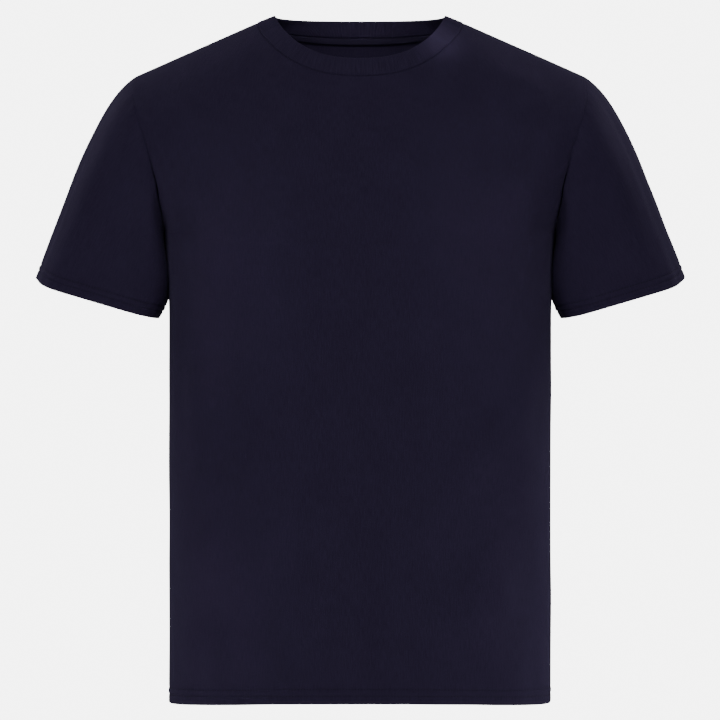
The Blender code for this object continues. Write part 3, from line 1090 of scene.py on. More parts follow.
@dataclass
class Neckband:
    """The doubled 1x1 rib band: it rises from the neck seam, folds over and its ribs run over the fold."""

    form: BodyForm
    rim_x: float = 0.0870
    rim_z: float = 0.0051
    rim_front_y: float = 0.0850
    rim_front_z: float = -0.0440
    rim_back_y: float = 0.0700
    rim_back_z: float = 0.0065
    rim_square: float = 2.55
    rim_fall: float = 1.52
    thickness: float = 0.0024
    wall: float = 0.0015
    seam_gap: float = 0.0001
    ribs: int = 380
    steps_a_rib: int = 6
    rib_depth: float = 0.00035
    face_rows: int = 9
    arc_steps: int = 8
    turn_samples: int = 4001
    weld_reach: float = 0.00001
    roll_depth: float = 0.0005
    roll_reach: float = 0.0022
    flat_width: float = 0.58
    flat_height: float = 0.0225

    def rim(self, turn: Array) -> Array:
        """Points of the band's upper edge.

        Args:
            turn: Turns round the neck from the +X side by the front.

        Returns:
            The points.
        """
        front = turn <= math.pi
        depth = np.where(front, self.rim_front_y, self.rim_back_y)
        middle_z = np.where(front, self.rim_front_z, self.rim_back_z)
        cos, sin = np.cos(turn), np.abs(np.sin(turn))
        x = self.rim_x * np.sign(cos) * np.abs(cos) ** (2 / self.rim_square)
        y = depth * sin ** (2 / self.rim_square) * np.where(front, -1.0, 1.0)
        z = self.rim_z + (middle_z - self.rim_z) * sin ** self.rim_fall
        return np.stack((x, y, z), axis=-1)

    def seam(self, turn: Array) -> Tuple[Array, Array]:
        """The neck seam's points on the body and the body's outward normals there."""
        s = np.full(turn.shape, self.form.neck)
        front = (turn <= math.pi)[:, None]
        ahead, behind = np.clip(turn, 0.0, math.pi), np.clip(2 * math.pi - turn, 0.0, math.pi)
        points = np.where(front, self.form.points(Side.FRONT, s, ahead),
                          self.form.points(Side.BACK, s, behind))
        normals = np.where(front, self.form.normals(Side.FRONT, s, ahead),
                           self.form.normals(Side.BACK, s, behind))
        return points, normals

    def even_turns(self) -> Array:
        """Turns whose points are evenly spaced along the middle of the band."""
        count = self.ribs * self.steps_a_rib
        fine = np.linspace(0.0, 2 * math.pi, self.turn_samples)
        points, _ = self.seam(fine[:-1])
        middle = (points + self.rim(fine[:-1])) / 2
        walked = walked_along(closed(middle))
        return np.interp(np.arange(count) * walked[-1] / count, walked, fine)

    def build(self) -> Object:
        """Makes the band.

        Returns:
            The closed ring.
        """
        turn = self.even_turns()
        seam, normal = self.seam(turn)
        top = self.rim(turn)
        along = top - seam
        level = along - np.sum(along * normal, axis=1, keepdims=True) * normal
        foot = seam + self.seam_gap * unit(level) - self.wall / 2 * normal
        radius = self.thickness / 2
        rise = top - foot
        reach = np.linalg.norm(rise, axis=1, keepdims=True) - radius
        upward = unit(rise)
        out = unit(normal - np.sum(normal * upward, axis=1, keepdims=True) * upward)
        rib = (1 - np.cos(2 * math.pi * np.arange(len(turn)) / self.steps_a_rib)) / 2
        groove = self.rib_depth * (1 - rib)[:, None]
        rows, heights = [], []
        shares = np.linspace(0.0, 1.0, self.face_rows + 1)
        low = self.roll_depth * np.clip(1 - shares * reach.mean() / self.roll_reach, 0.0, 1.0) ** 2
        for share, roll in zip(shares, low):
            lean = unit(normal * (1 - share) + out * share)
            rows.append(foot + share * reach * upward + (radius - roll - groove) * lean)
            heights.append(share * reach.mean())
        for step in range(1, self.arc_steps):
            angle = math.pi * step / self.arc_steps
            spot = (radius - groove) * (math.cos(angle) * out + math.sin(angle) * upward)
            rows.append(foot + reach * upward + spot)
            heights.append(reach.mean() + radius * angle)
        fold = reach.mean() + math.pi * radius
        for share in shares[::-1]:
            lean = unit(normal * (1 - share) + out * share)
            rows.append(foot + share * reach * upward - (radius - groove) * lean)
            heights.append(fold + (1 - share) * reach.mean())
        sheet = np.array(rows + rows[:1])
        round_way = walked_along(closed(seam))
        spots = np.zeros((len(sheet), len(turn) + 1, 2))
        spots[..., 0] = round_way
        spots[..., 1] = np.array(heights + [fold + reach.mean() + self.thickness])[:, None]
        piece = sheet_object("neckband_rib", sheet, spots, ring=True, flip=False)
        make_active(piece)
        weld = piece.modifiers.new("weld", "WELD")
        weld.merge_threshold = self.weld_reach
        bpy.ops.object.modifier_apply(modifier=weld.name)
        bpy.ops.object.mode_set(mode="EDIT")
        bpy.ops.mesh.select_all(action="SELECT")
        bpy.ops.mesh.normals_make_consistent(inside=False)
        bpy.ops.object.mode_set(mode="OBJECT")
        log.info("neckband_rib: seam %.4f m, rim %.4f m", round_way[-1], walked_along(closed(top))[-1])
        return piece

    def finish(self, material: Material, with_pieces: Sequence[Object]) -> None:
        """Builds the band and dresses it.

        Args:
            material: The rib.
            with_pieces: The seam edge that belongs to it; not used.
        """
        piece = self.build()
        piece.data.materials.append(material)
        settle(piece, ("collar_band",))


# --- Strips inside the seams ---


@dataclass(frozen=True)
class Strip:
    """A narrow strip that lies on the inside of the cloth along a seam."""

    name: str
    width: float
    thickness: float
    inset: float
    start: float = 0.0
    steps_across: int = 6
    crown_share: float = 0.35

    def offsets(self) -> Array:
        """Distances from the seam of the strip's rows."""
        return self.start + self.width * np.linspace(0.0, 1.0, self.steps_across + 1)

    def crown(self) -> Array:
        """How far each row stands off the cloth: the strip's long edges lie closest to it."""
        share = np.linspace(-1.0, 1.0, self.steps_across + 1)
        return self.inset + self.thickness * self.crown_share * (1 - share ** 4)

    def build(self, rows: Array, normals: Array, flip: bool) -> Object:
        """Makes the strip from the cloth that it lies on.

        Args:
            rows: The cloth's outer points, a row for each offset.
            normals: The cloth's outward normals there.
            flip: Whether the faces' order is turned round.

        Returns:
            The strip.
        """
        points = rows - self.crown()[:, None, None] * normals
        along = walked_along(points[len(points) // 2])
        spots = np.zeros(points.shape[:2] + (2,))
        spots[..., 0] = along
        spots[..., 1] = self.offsets()[:, None]
        piece = sheet_object(self.name, points, spots, ring=False, flip=flip)
        thicken(piece, self.thickness)
        return piece


@dataclass
class SeamEdges:
    """The overlocked edges inside the seams, each trimmed to one width and pressed to one side."""

    form: BodyForm
    width: float = 0.0060
    thickness: float = 0.0011
    inset: float = 0.0016
    step: float = 0.004
    end_gap: float = 0.001
    shoulder_places: int = 24
    neck_places: int = 150
    neck_fall: float = 0.020
    fall_samples: int = 41
    cap_gap: float = 0.0004

    def strip(self, name: str) -> Strip:
        """A strip with the seams' own width."""
        return Strip(name, self.width, self.thickness, self.inset)

    def down_the_back(self, name: str, hand: Hand, s: Array) -> Object:
        """An edge inside one of the back's side edges, pressed to the back.

        Args:
            name: The seam's name.
            hand: Left for the +X edge.
            s: Stations along it.

        Returns:
            The strip.
        """
        strip = self.strip(f"{name}_{hand.word}")
        turns, walked = self.form.ring(Side.BACK, s)
        rows, normals = [], []
        for offset in strip.offsets():
            turn = np.array([np.interp(offset, w, a) for w, a in zip(walked, turns)])
            turn = math.pi - turn if hand is Hand.RIGHT else turn
            rows.append(self.form.points(Side.BACK, s, turn))
            normals.append(self.form.normals(Side.BACK, s, turn))
        return strip.build(np.array(rows), np.array(normals), flip=hand is Hand.LEFT)

    def side_seam(self, hand: Hand, low: float) -> Object:
        """The edge inside a side seam, from above the hem to the underarm."""
        high = self.form.underarm
        return self.down_the_back("side_seam", hand, np.linspace(low, high, round((high - low) / self.step)))

    def shoulder_seam(self, hand: Hand) -> Object:
        """The edge inside a shoulder seam."""
        low, high = self.form.tip + self.end_gap, self.form.neck - 2 * self.end_gap
        return self.down_the_back("shoulder_seam", hand, np.linspace(low, high, self.shoulder_places))

    def below_neck(self, strip: Strip, side: Side) -> Tuple[Array, Array]:
        """The panel's points below the neck seam.

        Args:
            strip: The strip that lies there.
            side: The panel.

        Returns:
            Points and normals, a row for each of the strip's offsets.
        """
        turns, walked = self.form.ring(side, np.array([self.form.neck]))
        spots = np.linspace(self.end_gap, walked[0, -1] - self.end_gap, self.neck_places)
        turn = np.interp(spots, walked[0], turns[0])
        fine = self.form.neck - np.linspace(0.0, self.neck_fall, self.fall_samples)
        fallen = walked_along(self.form.points(side, fine[None, :], turn[:, None]))
        rows, normals = [], []
        for offset in strip.offsets():
            station = np.array([np.interp(offset, walk, fine) for walk in fallen])
            rows.append(self.form.points(side, station, turn))
            normals.append(self.form.normals(side, station, turn))
        return np.array(rows), np.array(normals)

    def front_neck_seam(self) -> Object:
        """The edge inside the front of the neck seam, pressed down."""
        strip = self.strip("front_neck_seam")
        rows, normals = self.below_neck(strip, Side.FRONT)
        return strip.build(rows, normals, flip=False)

    def armhole_seam(self, sleeve: Sleeve) -> Object:
        """The edge inside an armhole, pressed to the sleeve."""
        strip = self.strip(f"armhole_seam_{sleeve.hand.word}")
        outer, normals = sleeve.outer[::-1], sleeve.normals[::-1]
        from_cap = walked_along(np.swapaxes(outer, 0, 1))
        rows, outs = [], []
        for offset in strip.offsets() + self.cap_gap:
            rows.append([read_line(offset, walk, outer[:, j]) for j, walk in enumerate(from_cap)])
            outs.append([read_line(offset, walk, normals[:, j]) for j, walk in enumerate(from_cap)])
        rows, outs = closed(np.array(rows), 1), closed(np.array(outs), 1)
        return strip.build(rows, outs, flip=sleeve.hand is Hand.LEFT)


@dataclass
class NeckTape:
    """The narrow tape that covers the back neck seam, from shoulder seam to shoulder seam.

    What its width would have above the seam is cut off there.
    """

    seams: SeamEdges
    width: float = 0.0078
    thickness: float = 0.0010
    inset: float = 0.0021
    cut_off: float = 0.0004
    flat_length: float = 0.300
    flat_width: float = 0.0104

    def finish(self, material: Material) -> None:
        """Builds the tape and dresses it."""
        strip = Strip("back_neck_tape", self.width, self.thickness, self.inset, start=-self.cut_off)
        rows, normals = self.seams.below_neck(strip, Side.BACK)
        piece = strip.build(rows, normals, flip=True)
        piece.data.materials.append(material)
        settle(piece, ("neck_tape",))
        self.flat_length * self.width
        log.info("back_neck_tape: %.4f m long, %.5f square metres",
                 walked_along(rows[len(rows) // 2])[-1], cloth_area(rows))


# --- Stitches ---


@dataclass(frozen=True)
class Stitch:
    """One stitch of the thread: a short bead that dips into the cloth at both ends."""

    length: float = 0.0023
    width: float = 0.00090
    height: float = 0.00042
    dip: float = 0.00022
    facets: int = 6

    def bead(self) -> Tuple[Array, Array]:
        """Models the bead once, lying along +X with +Z off the cloth.

        Returns:
            Its points and its triangles.
        """
        deselect_all()
        bpy.ops.mesh.primitive_uv_sphere_add(segments=self.facets, ring_count=self.facets, radius=1.0)
        bead = bpy.context.active_object
        bpy.ops.object.mode_set(mode="EDIT")
        bpy.ops.mesh.select_all(action="SELECT")
        bpy.ops.mesh.quads_convert_to_tris()
        bpy.ops.transform.resize(value=(self.width / 2, self.height / 2, self.length / 2))
        bpy.ops.object.mode_set(mode="OBJECT")
        data = bead.data
        points = np.array([vertex.co for vertex in data.vertices])
        triangles = np.array([tuple(face.vertices) for face in data.polygons])
        bpy.data.objects.remove(bead)
        bpy.data.meshes.remove(data)
        along = points[:, 2] / (self.length / 2)
        shaped = np.stack((points[:, 2], points[:, 0], points[:, 1] - self.dip * along ** 2), axis=1)
        return shaped, triangles


@dataclass
class StitchRow:
    """Even stitches sewn along a line that lies on the cloth."""

    name: str
    stitch: Stitch = Stitch()
    pitch: float = 0.0030
    sink: float = 0.00004

    def build(self, lines: Sequence[Tuple[Array, Array]]) -> Object:
        """Sews the lines.

        Args:
            lines: The points of each line and the normals off the cloth there.

        Returns:
            All the stitches as one mesh.
        """
        bead, triangles = self.stitch.bead()
        points, faces = [], []
        for line, normals in lines:
            walked = walked_along(line)
            count = int(walked[-1] / self.pitch)
            centres = (np.arange(count) + 0.5) * walked[-1] / count
            spots, outs = read_line(centres, walked, line), read_line(centres, walked, normals)
            ahead = read_line(centres + self.pitch / 4, walked, line)
            back = read_line(centres - self.pitch / 4, walked, line)
            run, up = unit(ahead - back), unit(outs)
            aside = unit(np.cross(up, run))
            up = np.cross(run, aside)
            frames = np.stack((run, aside, up), axis=1)
            beads = np.einsum("bk,nkc->nbc", bead, frames) + (spots - self.sink * up)[:, None]
            first = sum(len(group) for group in points)
            points.append(beads.reshape(-1, 3))
            steps = first + len(bead) * np.arange(count)
            faces.append((triangles[None] + steps[:, None, None]).reshape(-1, 3))
        mesh = bpy.data.meshes.new(self.name)
        mesh.from_pydata(np.concatenate(points).tolist(), [], np.concatenate(faces).tolist())
        mesh.shade_smooth()
        return placed(self.name, mesh)

    def sew(self, lines: Sequence[Tuple[Array, Array]], thread: Material) -> Object:
        """Builds the row, dresses it and lets it ride on the garment."""
        piece = self.build(lines)
        piece.data.materials.append(thread)
        return settle(piece)


def hem_lines(outer: Array, normals: Array, heights: Array, rows: Sequence[float], ring: bool
              ) -> List[Tuple[Array, Array]]:
    """The lines along which a hem is sewn.

    Args:
        outer: The sheet's outer points from the hem up.
        normals: Its outward normals.
        heights: The heights of its first rows.
        rows: The heights of the stitch rows.
        ring: Whether the hem closes on itself.

    Returns:
        The points and normals of each line.
    """
    lines = []
    for row in rows:
        high = int(np.searchsorted(heights, row))
        share = (row - heights[high - 1]) / (heights[high] - heights[high - 1])
        line = outer[high - 1] * (1 - share) + outer[high] * share
        out = normals[high]
        if ring:
            line, out = closed(line), closed(out)
        lines.append((line, out))
    return lines


# --- Finishes ---


@dataclass(frozen=True)
class Wire:
    """A shader socket on which arithmetic adds Math nodes."""

    graph: "Graph"
    socket: NodeSocket

    def math(self, operation: str, *values: Number) -> "Wire":
        """Adds a Math node.

        Args:
            operation: Blender's name of the operation.
            values: The node's inputs.

        Returns:
            The node's result.
        """
        node = self.graph.node("ShaderNodeMath", {"operation": operation}, dict(enumerate(values)))
        return Wire(self.graph, node.outputs[0])

    def __add__(self, other: Number) -> "Wire":
        """The sum."""
        return self.math("ADD", self, other)

    def __sub__(self, other: Number) -> "Wire":
        """The difference."""
        return self.math("SUBTRACT", self, other)

    def __rsub__(self, other: Number) -> "Wire":
        """The difference, the other way round."""
        return self.math("SUBTRACT", other, self)

    def __mul__(self, other: Number) -> "Wire":
        """The product."""
        return self.math("MULTIPLY", self, other)

    def __truediv__(self, other: Number) -> "Wire":
        """The quotient."""
        return self.math("DIVIDE", self, other)

    def swing(self) -> "Wire":
        """The sine, brought between 0 and 1."""
        return self.math("SINE", self) * 0.5 + 0.5

    def blend(self, other: "Wire", share: float) -> "Wire":
        """This wire's share and what is left to the other."""
        return self * share + other * (1 - share)

    def fraction(self) -> "Wire":
        """The part after the point."""
        return self.math("FRACT", self)

    def size(self) -> "Wire":
        """The value without its sign."""
        return self.math("ABSOLUTE", self)


@dataclass(frozen=True)
class Grain:
    """How fine a noise is, in waves to the metre across and along the cloth, and how rough."""

    across: float
    along: float
    detail: float
    roughness: float


class Graph:
    """The node tree of one material."""

    def __init__(self, name: str) -> None:
        """Starts a material with a Principled shader.

        Args:
            name: The material's name.
        """
        self.material = bpy.data.materials.new(name)
        self.material.use_nodes = True
        self.tree = self.material.node_tree
        self.shader = self.tree.nodes["Principled BSDF"]

    def node(self, kind: str, settings: Dict[str, Any], inputs: Dict[Any, Any]) -> Node:
        """Adds a node.

        Args:
            kind: The node's type.
            settings: Its properties, set first.
            inputs: Values, sockets or wires for its sockets, by name or number.

        Returns:
            The node.
        """
        node = self.tree.nodes.new(kind)
        for key, value in settings.items():
            setattr(node, key, value)
        for key, value in inputs.items():
            self.feed(node.inputs[key], value)
        return node

    def feed(self, socket: NodeSocket, value: Any) -> None:
        """Links a wire or a socket to a socket, or sets its value."""
        if isinstance(value, (Wire, NodeSocket)):
            self.tree.links.new(getattr(value, "socket", value), socket)
        else:
            socket.default_value = value

    def wire(self, node: Node, output: Union[int, str] = 0) -> Wire:
        """A node's output as a wire."""
        return Wire(self, node.outputs[output])

    def cloth_places(self) -> Tuple[Wire, Wire]:
        """Places on the cloth in metres: across its wales and along them."""
        place = self.node("ShaderNodeUVMap", {"uv_map": CLOTH_MAP}, {})
        parts = self.node("ShaderNodeSeparateXYZ", {}, {0: place.outputs[0]})
        return self.wire(parts, 0), self.wire(parts, 1)

    def noise(self, u: Wire, v: Wire, grain: Grain) -> Wire:
        """Noise over the cloth, about 0.5."""
        spot = self.node("ShaderNodeCombineXYZ", {}, {0: u * grain.across, 1: v * grain.along})
        inputs = {"Vector": spot.outputs[0], "Scale": 1.0, "Detail": grain.detail,
                  "Roughness": grain.roughness}
        return self.wire(self.node("ShaderNodeTexNoise", {"noise_dimensions": "2D"}, inputs))

    def tint(self, low: Sequence[float], high: Sequence[float], share: Wire) -> NodeSocket:
        """A colour between two, by a wire from 0 to 1."""
        node = self.node("ShaderNodeMix", {"data_type": "RGBA", "clamp_factor": True},
                         {"Factor": share, 6: (*low, 1.0), 7: (*high, 1.0)})
        return node.outputs[2]

    def bump(self, height: Wire, distance: float) -> NodeSocket:
        """A bump of full strength and of that height in metres."""
        node = self.node("ShaderNodeBump", {}, {"Height": height, "Distance": distance, "Strength": 1.0})
        return node.outputs[0]


@dataclass(frozen=True)
class ClothFinish:
    """What every cloth's finish has: two colours, a relief and the shader's constants."""

    name: str
    dark: Colour
    light: Colour
    relief: float
    roughness: float = 0.86
    specular: float = 0.06
    sheen: float = 0.02
    sheen_roughness: float = 0.45
    sheen_tint: Colour = (0.55, 0.50, 0.85)

    def weave(self, graph: Graph) -> Tuple[Wire, Wire]:
        """Lays out the cloth's own pattern.

        Args:
            graph: The material's nodes.

        Returns:
            The light colour's share, and the height of the surface as a share of its relief.
        """
        raise NotImplementedError

    def material(self) -> Material:
        """Makes the material.

        Returns:
            The material.
        """
        graph = Graph(self.name)
        share, height = self.weave(graph)
        inputs = {
            "Base Color": graph.tint(self.dark, self.light, share),
            "Normal": graph.bump(height, self.relief),
            "Roughness": self.roughness,
            "Metallic": 0.0,
            "Specular IOR Level": self.specular,
            "Sheen Weight": self.sheen,
            "Sheen Roughness": self.sheen_roughness,
            "Sheen Tint": (*self.sheen_tint, 1.0),
        }
        for key, value in inputs.items():
            graph.feed(graph.shader.inputs[key], value)
        return graph.material


@dataclass(frozen=True)
class JerseyFinish(ClothFinish):
    """Plain cotton jersey: fine columns of V stitches, a faint nap, and yarns of uneven weight."""

    name: str = "navy_jersey_cloth"
    dark: Colour = (0.0107, 0.0077, 0.0206)
    light: Colour = (0.0163, 0.0120, 0.0302)
    relief: float = 0.00010
    wale: float = 0.00072
    course: float = 0.00058
    leg_rise: float = 0.9
    yarn: Grain = Grain(760.0, 90.0, 2.0, 0.55)
    nap: Grain = Grain(900.0, 700.0, 3.0, 0.6)
    cloud: Grain = Grain(30.0, 20.0, 2.0, 0.5)
    contrast: float = 3.1
    middle: float = 0.45
    stitch_share: float = 0.45
    yarn_share: float = 0.40
    nap_share: float = 0.45
    knit_rise: float = 0.75
    yarn_rise: float = 0.9
    nap_rise: float = 0.5

    def weave(self, graph: Graph) -> Tuple[Wire, Wire]:
        """Lays out wales, courses, yarns and nap."""
        u, v = graph.cloth_places()
        leg = ((u / self.wale).fraction() - 0.5).size()
        stitch = ((v / self.course + leg * self.leg_rise) * (2 * math.pi)).swing()
        knit = stitch.blend(1 - (leg * 4 - 1).size(), self.stitch_share)
        yarn, nap, cloud = (graph.noise(u, v, grain) for grain in (self.yarn, self.nap, self.cloud))
        cloud_share = 1 - self.yarn_share - self.nap_share
        mixed = yarn * self.yarn_share + nap * self.nap_share + cloud * cloud_share
        height = knit * self.knit_rise + yarn * self.yarn_rise + nap * self.nap_rise
        return (mixed - 0.5) * self.contrast + self.middle, height


@dataclass(frozen=True)
class RibFinish(ClothFinish):
    """Cotton rib: the ribs are modelled, so only the stitches along them and the nap are left."""

    name: str = "navy_rib_cloth"
    dark: Colour = (0.0112, 0.0082, 0.0213)
    light: Colour = (0.0174, 0.0129, 0.0317)
    relief: float = 0.00009
    course: float = 0.00070
    yarn: Grain = Grain(700.0, 60.0, 2.0, 0.55)
    nap: Grain = Grain(1000.0, 1000.0, 3.0, 0.6)
    contrast: float = 3.2
    darkest: float = 0.36
    yarn_share: float = 0.6
    course_rise: float = 0.6

    def weave(self, graph: Graph) -> Tuple[Wire, Wire]:
        """Lays out courses, yarns and nap."""
        u, v = graph.cloth_places()
        course = (v * (2 * math.pi / self.course)).swing()
        yarn, nap = graph.noise(u, v, self.yarn), graph.noise(u, v, self.nap)
        share = (yarn.blend(nap, self.yarn_share) - self.darkest) * self.contrast
        return share, course * self.course_rise + nap


@dataclass(frozen=True)
class TapeFinish(ClothFinish):
    """Woven tape or overlocked edge: close diagonal threads across a narrow strip."""

    relief: float = 0.00016
    roughness: float = 0.80
    specular: float = 0.08
    pitch: float = 0.0011
    slope: float = 1.0
    nap: Grain = Grain(900.0, 900.0, 3.0, 0.6)
    thread_share: float = 0.6
    nap_rise: float = 0.4

    def weave(self, graph: Graph) -> Tuple[Wire, Wire]:
        """Lays out the threads and the nap."""
        u, v = graph.cloth_places()
        thread = ((u + v * self.slope) * (2 * math.pi / self.pitch)).swing()
        nap = graph.noise(u, v, self.nap)
        return thread.blend(nap, self.thread_share), thread + nap * self.nap_rise


TAPE_TWILL = TapeFinish("navy_tape_twill", (0.0092, 0.0068, 0.0178), (0.0150, 0.0112, 0.0280))
OVERLOCK = TapeFinish("navy_overlock", (0.0065, 0.0055, 0.0110), (0.0125, 0.0105, 0.0210),
                      pitch=0.0021, slope=0.35)


@dataclass(frozen=True)
class ThreadFinish(ClothFinish):
    """Spun sewing thread, a little smoother than the cloth."""

    name: str = "navy_sewing_thread"
    dark: Colour = (0.0030, 0.0026, 0.0055)
    light: Colour = (0.0060, 0.0052, 0.0105)
    relief: float = 0.00005
    roughness: float = 0.70
    specular: float = 0.10
    sheen_roughness: float = 0.40
    twist: float = 5200.0
    twist_rise: float = 1.7

    def weave(self, graph: Graph) -> Tuple[Wire, Wire]:
        """Lays out the plies."""
        place = graph.node("ShaderNodeTexCoord", {}, {})
        parts = graph.node("ShaderNodeSeparateXYZ", {}, {0: place.outputs["Object"]})
        x, y, z = (graph.wire(parts, axis) for axis in range(3))
        ply = ((x + y + z * self.twist_rise) * self.twist).swing()
        return ply, ply


# --- Studio ---


@dataclass(frozen=True)
class Softbox:
    """A soft lamp that faces the garment: a small spread makes a spot of it."""

    name: str
    place: Point
    aim: Point
    width: float
    height: float
    watts: float
    spread: float = math.pi
    colour: Colour = (1.0, 1.0, 1.0)

    def build(self) -> Object:
        """Hangs the lamp and turns it to the point that it faces.

        Returns:
            The lamp.
        """
        data = bpy.data.lights.new(self.name, "AREA")
        data.shape = "RECTANGLE"
        data.size = self.width
        data.size_y = self.height
        data.energy = self.watts
        data.spread = self.spread
        data.color = self.colour
        lamp = placed(self.name, data)
        lamp.location = self.place
        towards = Vector(self.aim) - Vector(self.place)
        lamp.rotation_euler = towards.to_track_quat("-Z", "Y").to_euler()
        return lamp


RIM_VIOLET = (0.86, 0.79, 1.0)
NARROW = 0.14


@dataclass(frozen=True)
class Studio:
    """A pale room, soft lamps in front, above and at both sides, five small spots and a level camera."""

    aim: Point = (0.0, 0.0, -0.3486)
    camera_distance: float = 4.0
    view_width: float = 0.7416
    sensor: float = 36.0
    far_clip: float = 50.0
    dome_radius: float = 9.0
    dome_sides: int = 64
    dome_light: float = 6.0
    floor_height: float = -1.45
    floor_radius: float = 3.0
    floor_sides: int = 96
    floor_tone: float = 0.85
    floor_roughness: float = 0.8
    world_light: float = 0.08
    softboxes: Tuple[Softbox, ...] = (
        Softbox("softbox_front_high", (0.0, -3.2, 1.3), (0.0, 0.0, -0.33), 2.4, 1.4, 32.0),
        Softbox("softbox_front", (0.0, -3.5, 0.0), (0.0, 0.0, -0.33), 1.6, 1.4, 14.0),
        Softbox("softbox_front_low", (0.0, -3.0, -1.5), (0.0, 0.0, -0.4), 2.0, 1.2, 12.0),
        Softbox("softbox_front_near", (0.0, -1.6, 1.6), (0.0, 0.0, -0.2), 1.6, 0.8, 9.0),
        Softbox("softbox_left", (-2.2, -2.0, 0.3), (0.0, 0.0, -0.35), 1.4, 1.8, 15.5),
        Softbox("softbox_right", (2.2, -2.0, 0.3), (0.0, 0.0, -0.35), 1.4, 1.8, 15.5),
        Softbox("softbox_top", (0.0, -0.6, 2.2), (0.0, 0.0, -0.2), 2.2, 1.2, 6.0),
        Softbox("softbox_top_left", (-1.5, -0.8, 1.5), (-0.1, 0.0, -0.1), 1.0, 1.0, 2.2),
        Softbox("softbox_top_right", (1.5, -0.8, 1.5), (0.1, 0.0, -0.1), 1.0, 1.0, 4.0),
        Softbox("softbox_rim_left", (-1.3, 0.75, 0.62), (-0.25, 0.0, -0.18), 0.5, 0.9, 15.0,
                colour=RIM_VIOLET),
        Softbox("softbox_rim_right", (1.3, 0.75, 0.62), (0.25, 0.0, -0.18), 0.5, 0.9, 17.0,
                colour=RIM_VIOLET),
        Softbox("softbox_low_left", (-1.2, -0.3, -1.0), (-0.19, 0.0, -0.62), 0.4, 0.5, 4.0),
        Softbox("softbox_low_right", (1.2, -0.3, -1.0), (0.19, 0.0, -0.63), 0.4, 0.5, 0.52, spread=0.5),
        Softbox("snoot_collar", (0.55, -0.90, 0.75), (0.078, -0.055, -0.026), 0.03, 0.03, 0.005,
                spread=0.05),
        Softbox("snoot_neck", (0.0, -1.30, 1.00), (0.0, 0.08, -0.02), 0.16, 0.04, 0.033, spread=0.12),
        Softbox("snoot_chest_left", (-0.70, -1.60, 0.10), (-0.150, -0.10, -0.27), 0.08, 0.22, 0.031,
                spread=NARROW),
        Softbox("snoot_chest_right", (0.70, -1.60, 0.10), (0.135, -0.10, -0.23), 0.10, 0.18, 0.026,
                spread=NARROW),
        Softbox("snoot_low_left", (-0.60, -1.60, -0.80), (-0.150, -0.10, -0.61), 0.08, 0.24, 0.030,
                spread=NARROW),
    )

    def camera(self) -> Object:
        """Sets the level camera in front of the garment.

        Returns:
            The camera.
        """
        data = bpy.data.cameras.new("camera")
        data.lens = self.sensor * self.camera_distance / self.view_width
        data.sensor_width = self.sensor
        data.clip_end = self.far_clip
        camera = placed("camera", data)
        camera.location = Vector(self.aim) - Vector((0.0, self.camera_distance, 0.0))
        camera.rotation_euler = (math.pi / 2, 0.0, 0.0)
        bpy.context.scene.camera = camera
        return camera

    def room(self) -> None:
        """Builds the pale dome, which the camera sees but which lights nothing, and the floor."""
        deselect_all()
        bpy.ops.mesh.primitive_uv_sphere_add(segments=self.dome_sides, ring_count=self.dome_sides // 2,
                                             radius=self.dome_radius, location=self.aim)
        dome = bpy.context.active_object
        dome.name = "studio_dome"
        for kind in ("diffuse", "glossy", "transmission", "volume_scatter", "shadow"):
            setattr(dome, f"visible_{kind}", False)
        graph = Graph("studio_white")
        glow = graph.node("ShaderNodeEmission", {}, {"Color": (1.0, 1.0, 1.0, 1.0),
                                                     "Strength": self.dome_light})
        graph.tree.links.new(glow.outputs[0], graph.tree.nodes["Material Output"].inputs["Surface"])
        dome.data.materials.append(graph.material)
        deselect_all()
        bpy.ops.mesh.primitive_circle_add(vertices=self.floor_sides, radius=self.floor_radius,
                                          fill_type="NGON", location=(0.0, 0.0, self.floor_height))
        floor = bpy.context.active_object
        floor.name = "studio_floor"
        pale = Graph("studio_floor_white")
        pale.feed(pale.shader.inputs["Base Color"], (*[self.floor_tone] * 3, 1.0))
        pale.feed(pale.shader.inputs["Roughness"], self.floor_roughness)
        floor.data.materials.append(pale.material)
        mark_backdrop(dome, floor)

    def light(self) -> None:
        """Hangs the lamps and sets the room's own light."""
        for softbox in self.softboxes:
            softbox.build()
        world = bpy.data.worlds.new("studio_world")
        world.use_nodes = True
        back = world.node_tree.nodes["Background"]
        back.inputs["Color"].default_value = (1.0, 1.0, 1.0, 1.0)
        back.inputs["Strength"].default_value = self.world_light
        bpy.context.scene.world = world


# --- The garment ---

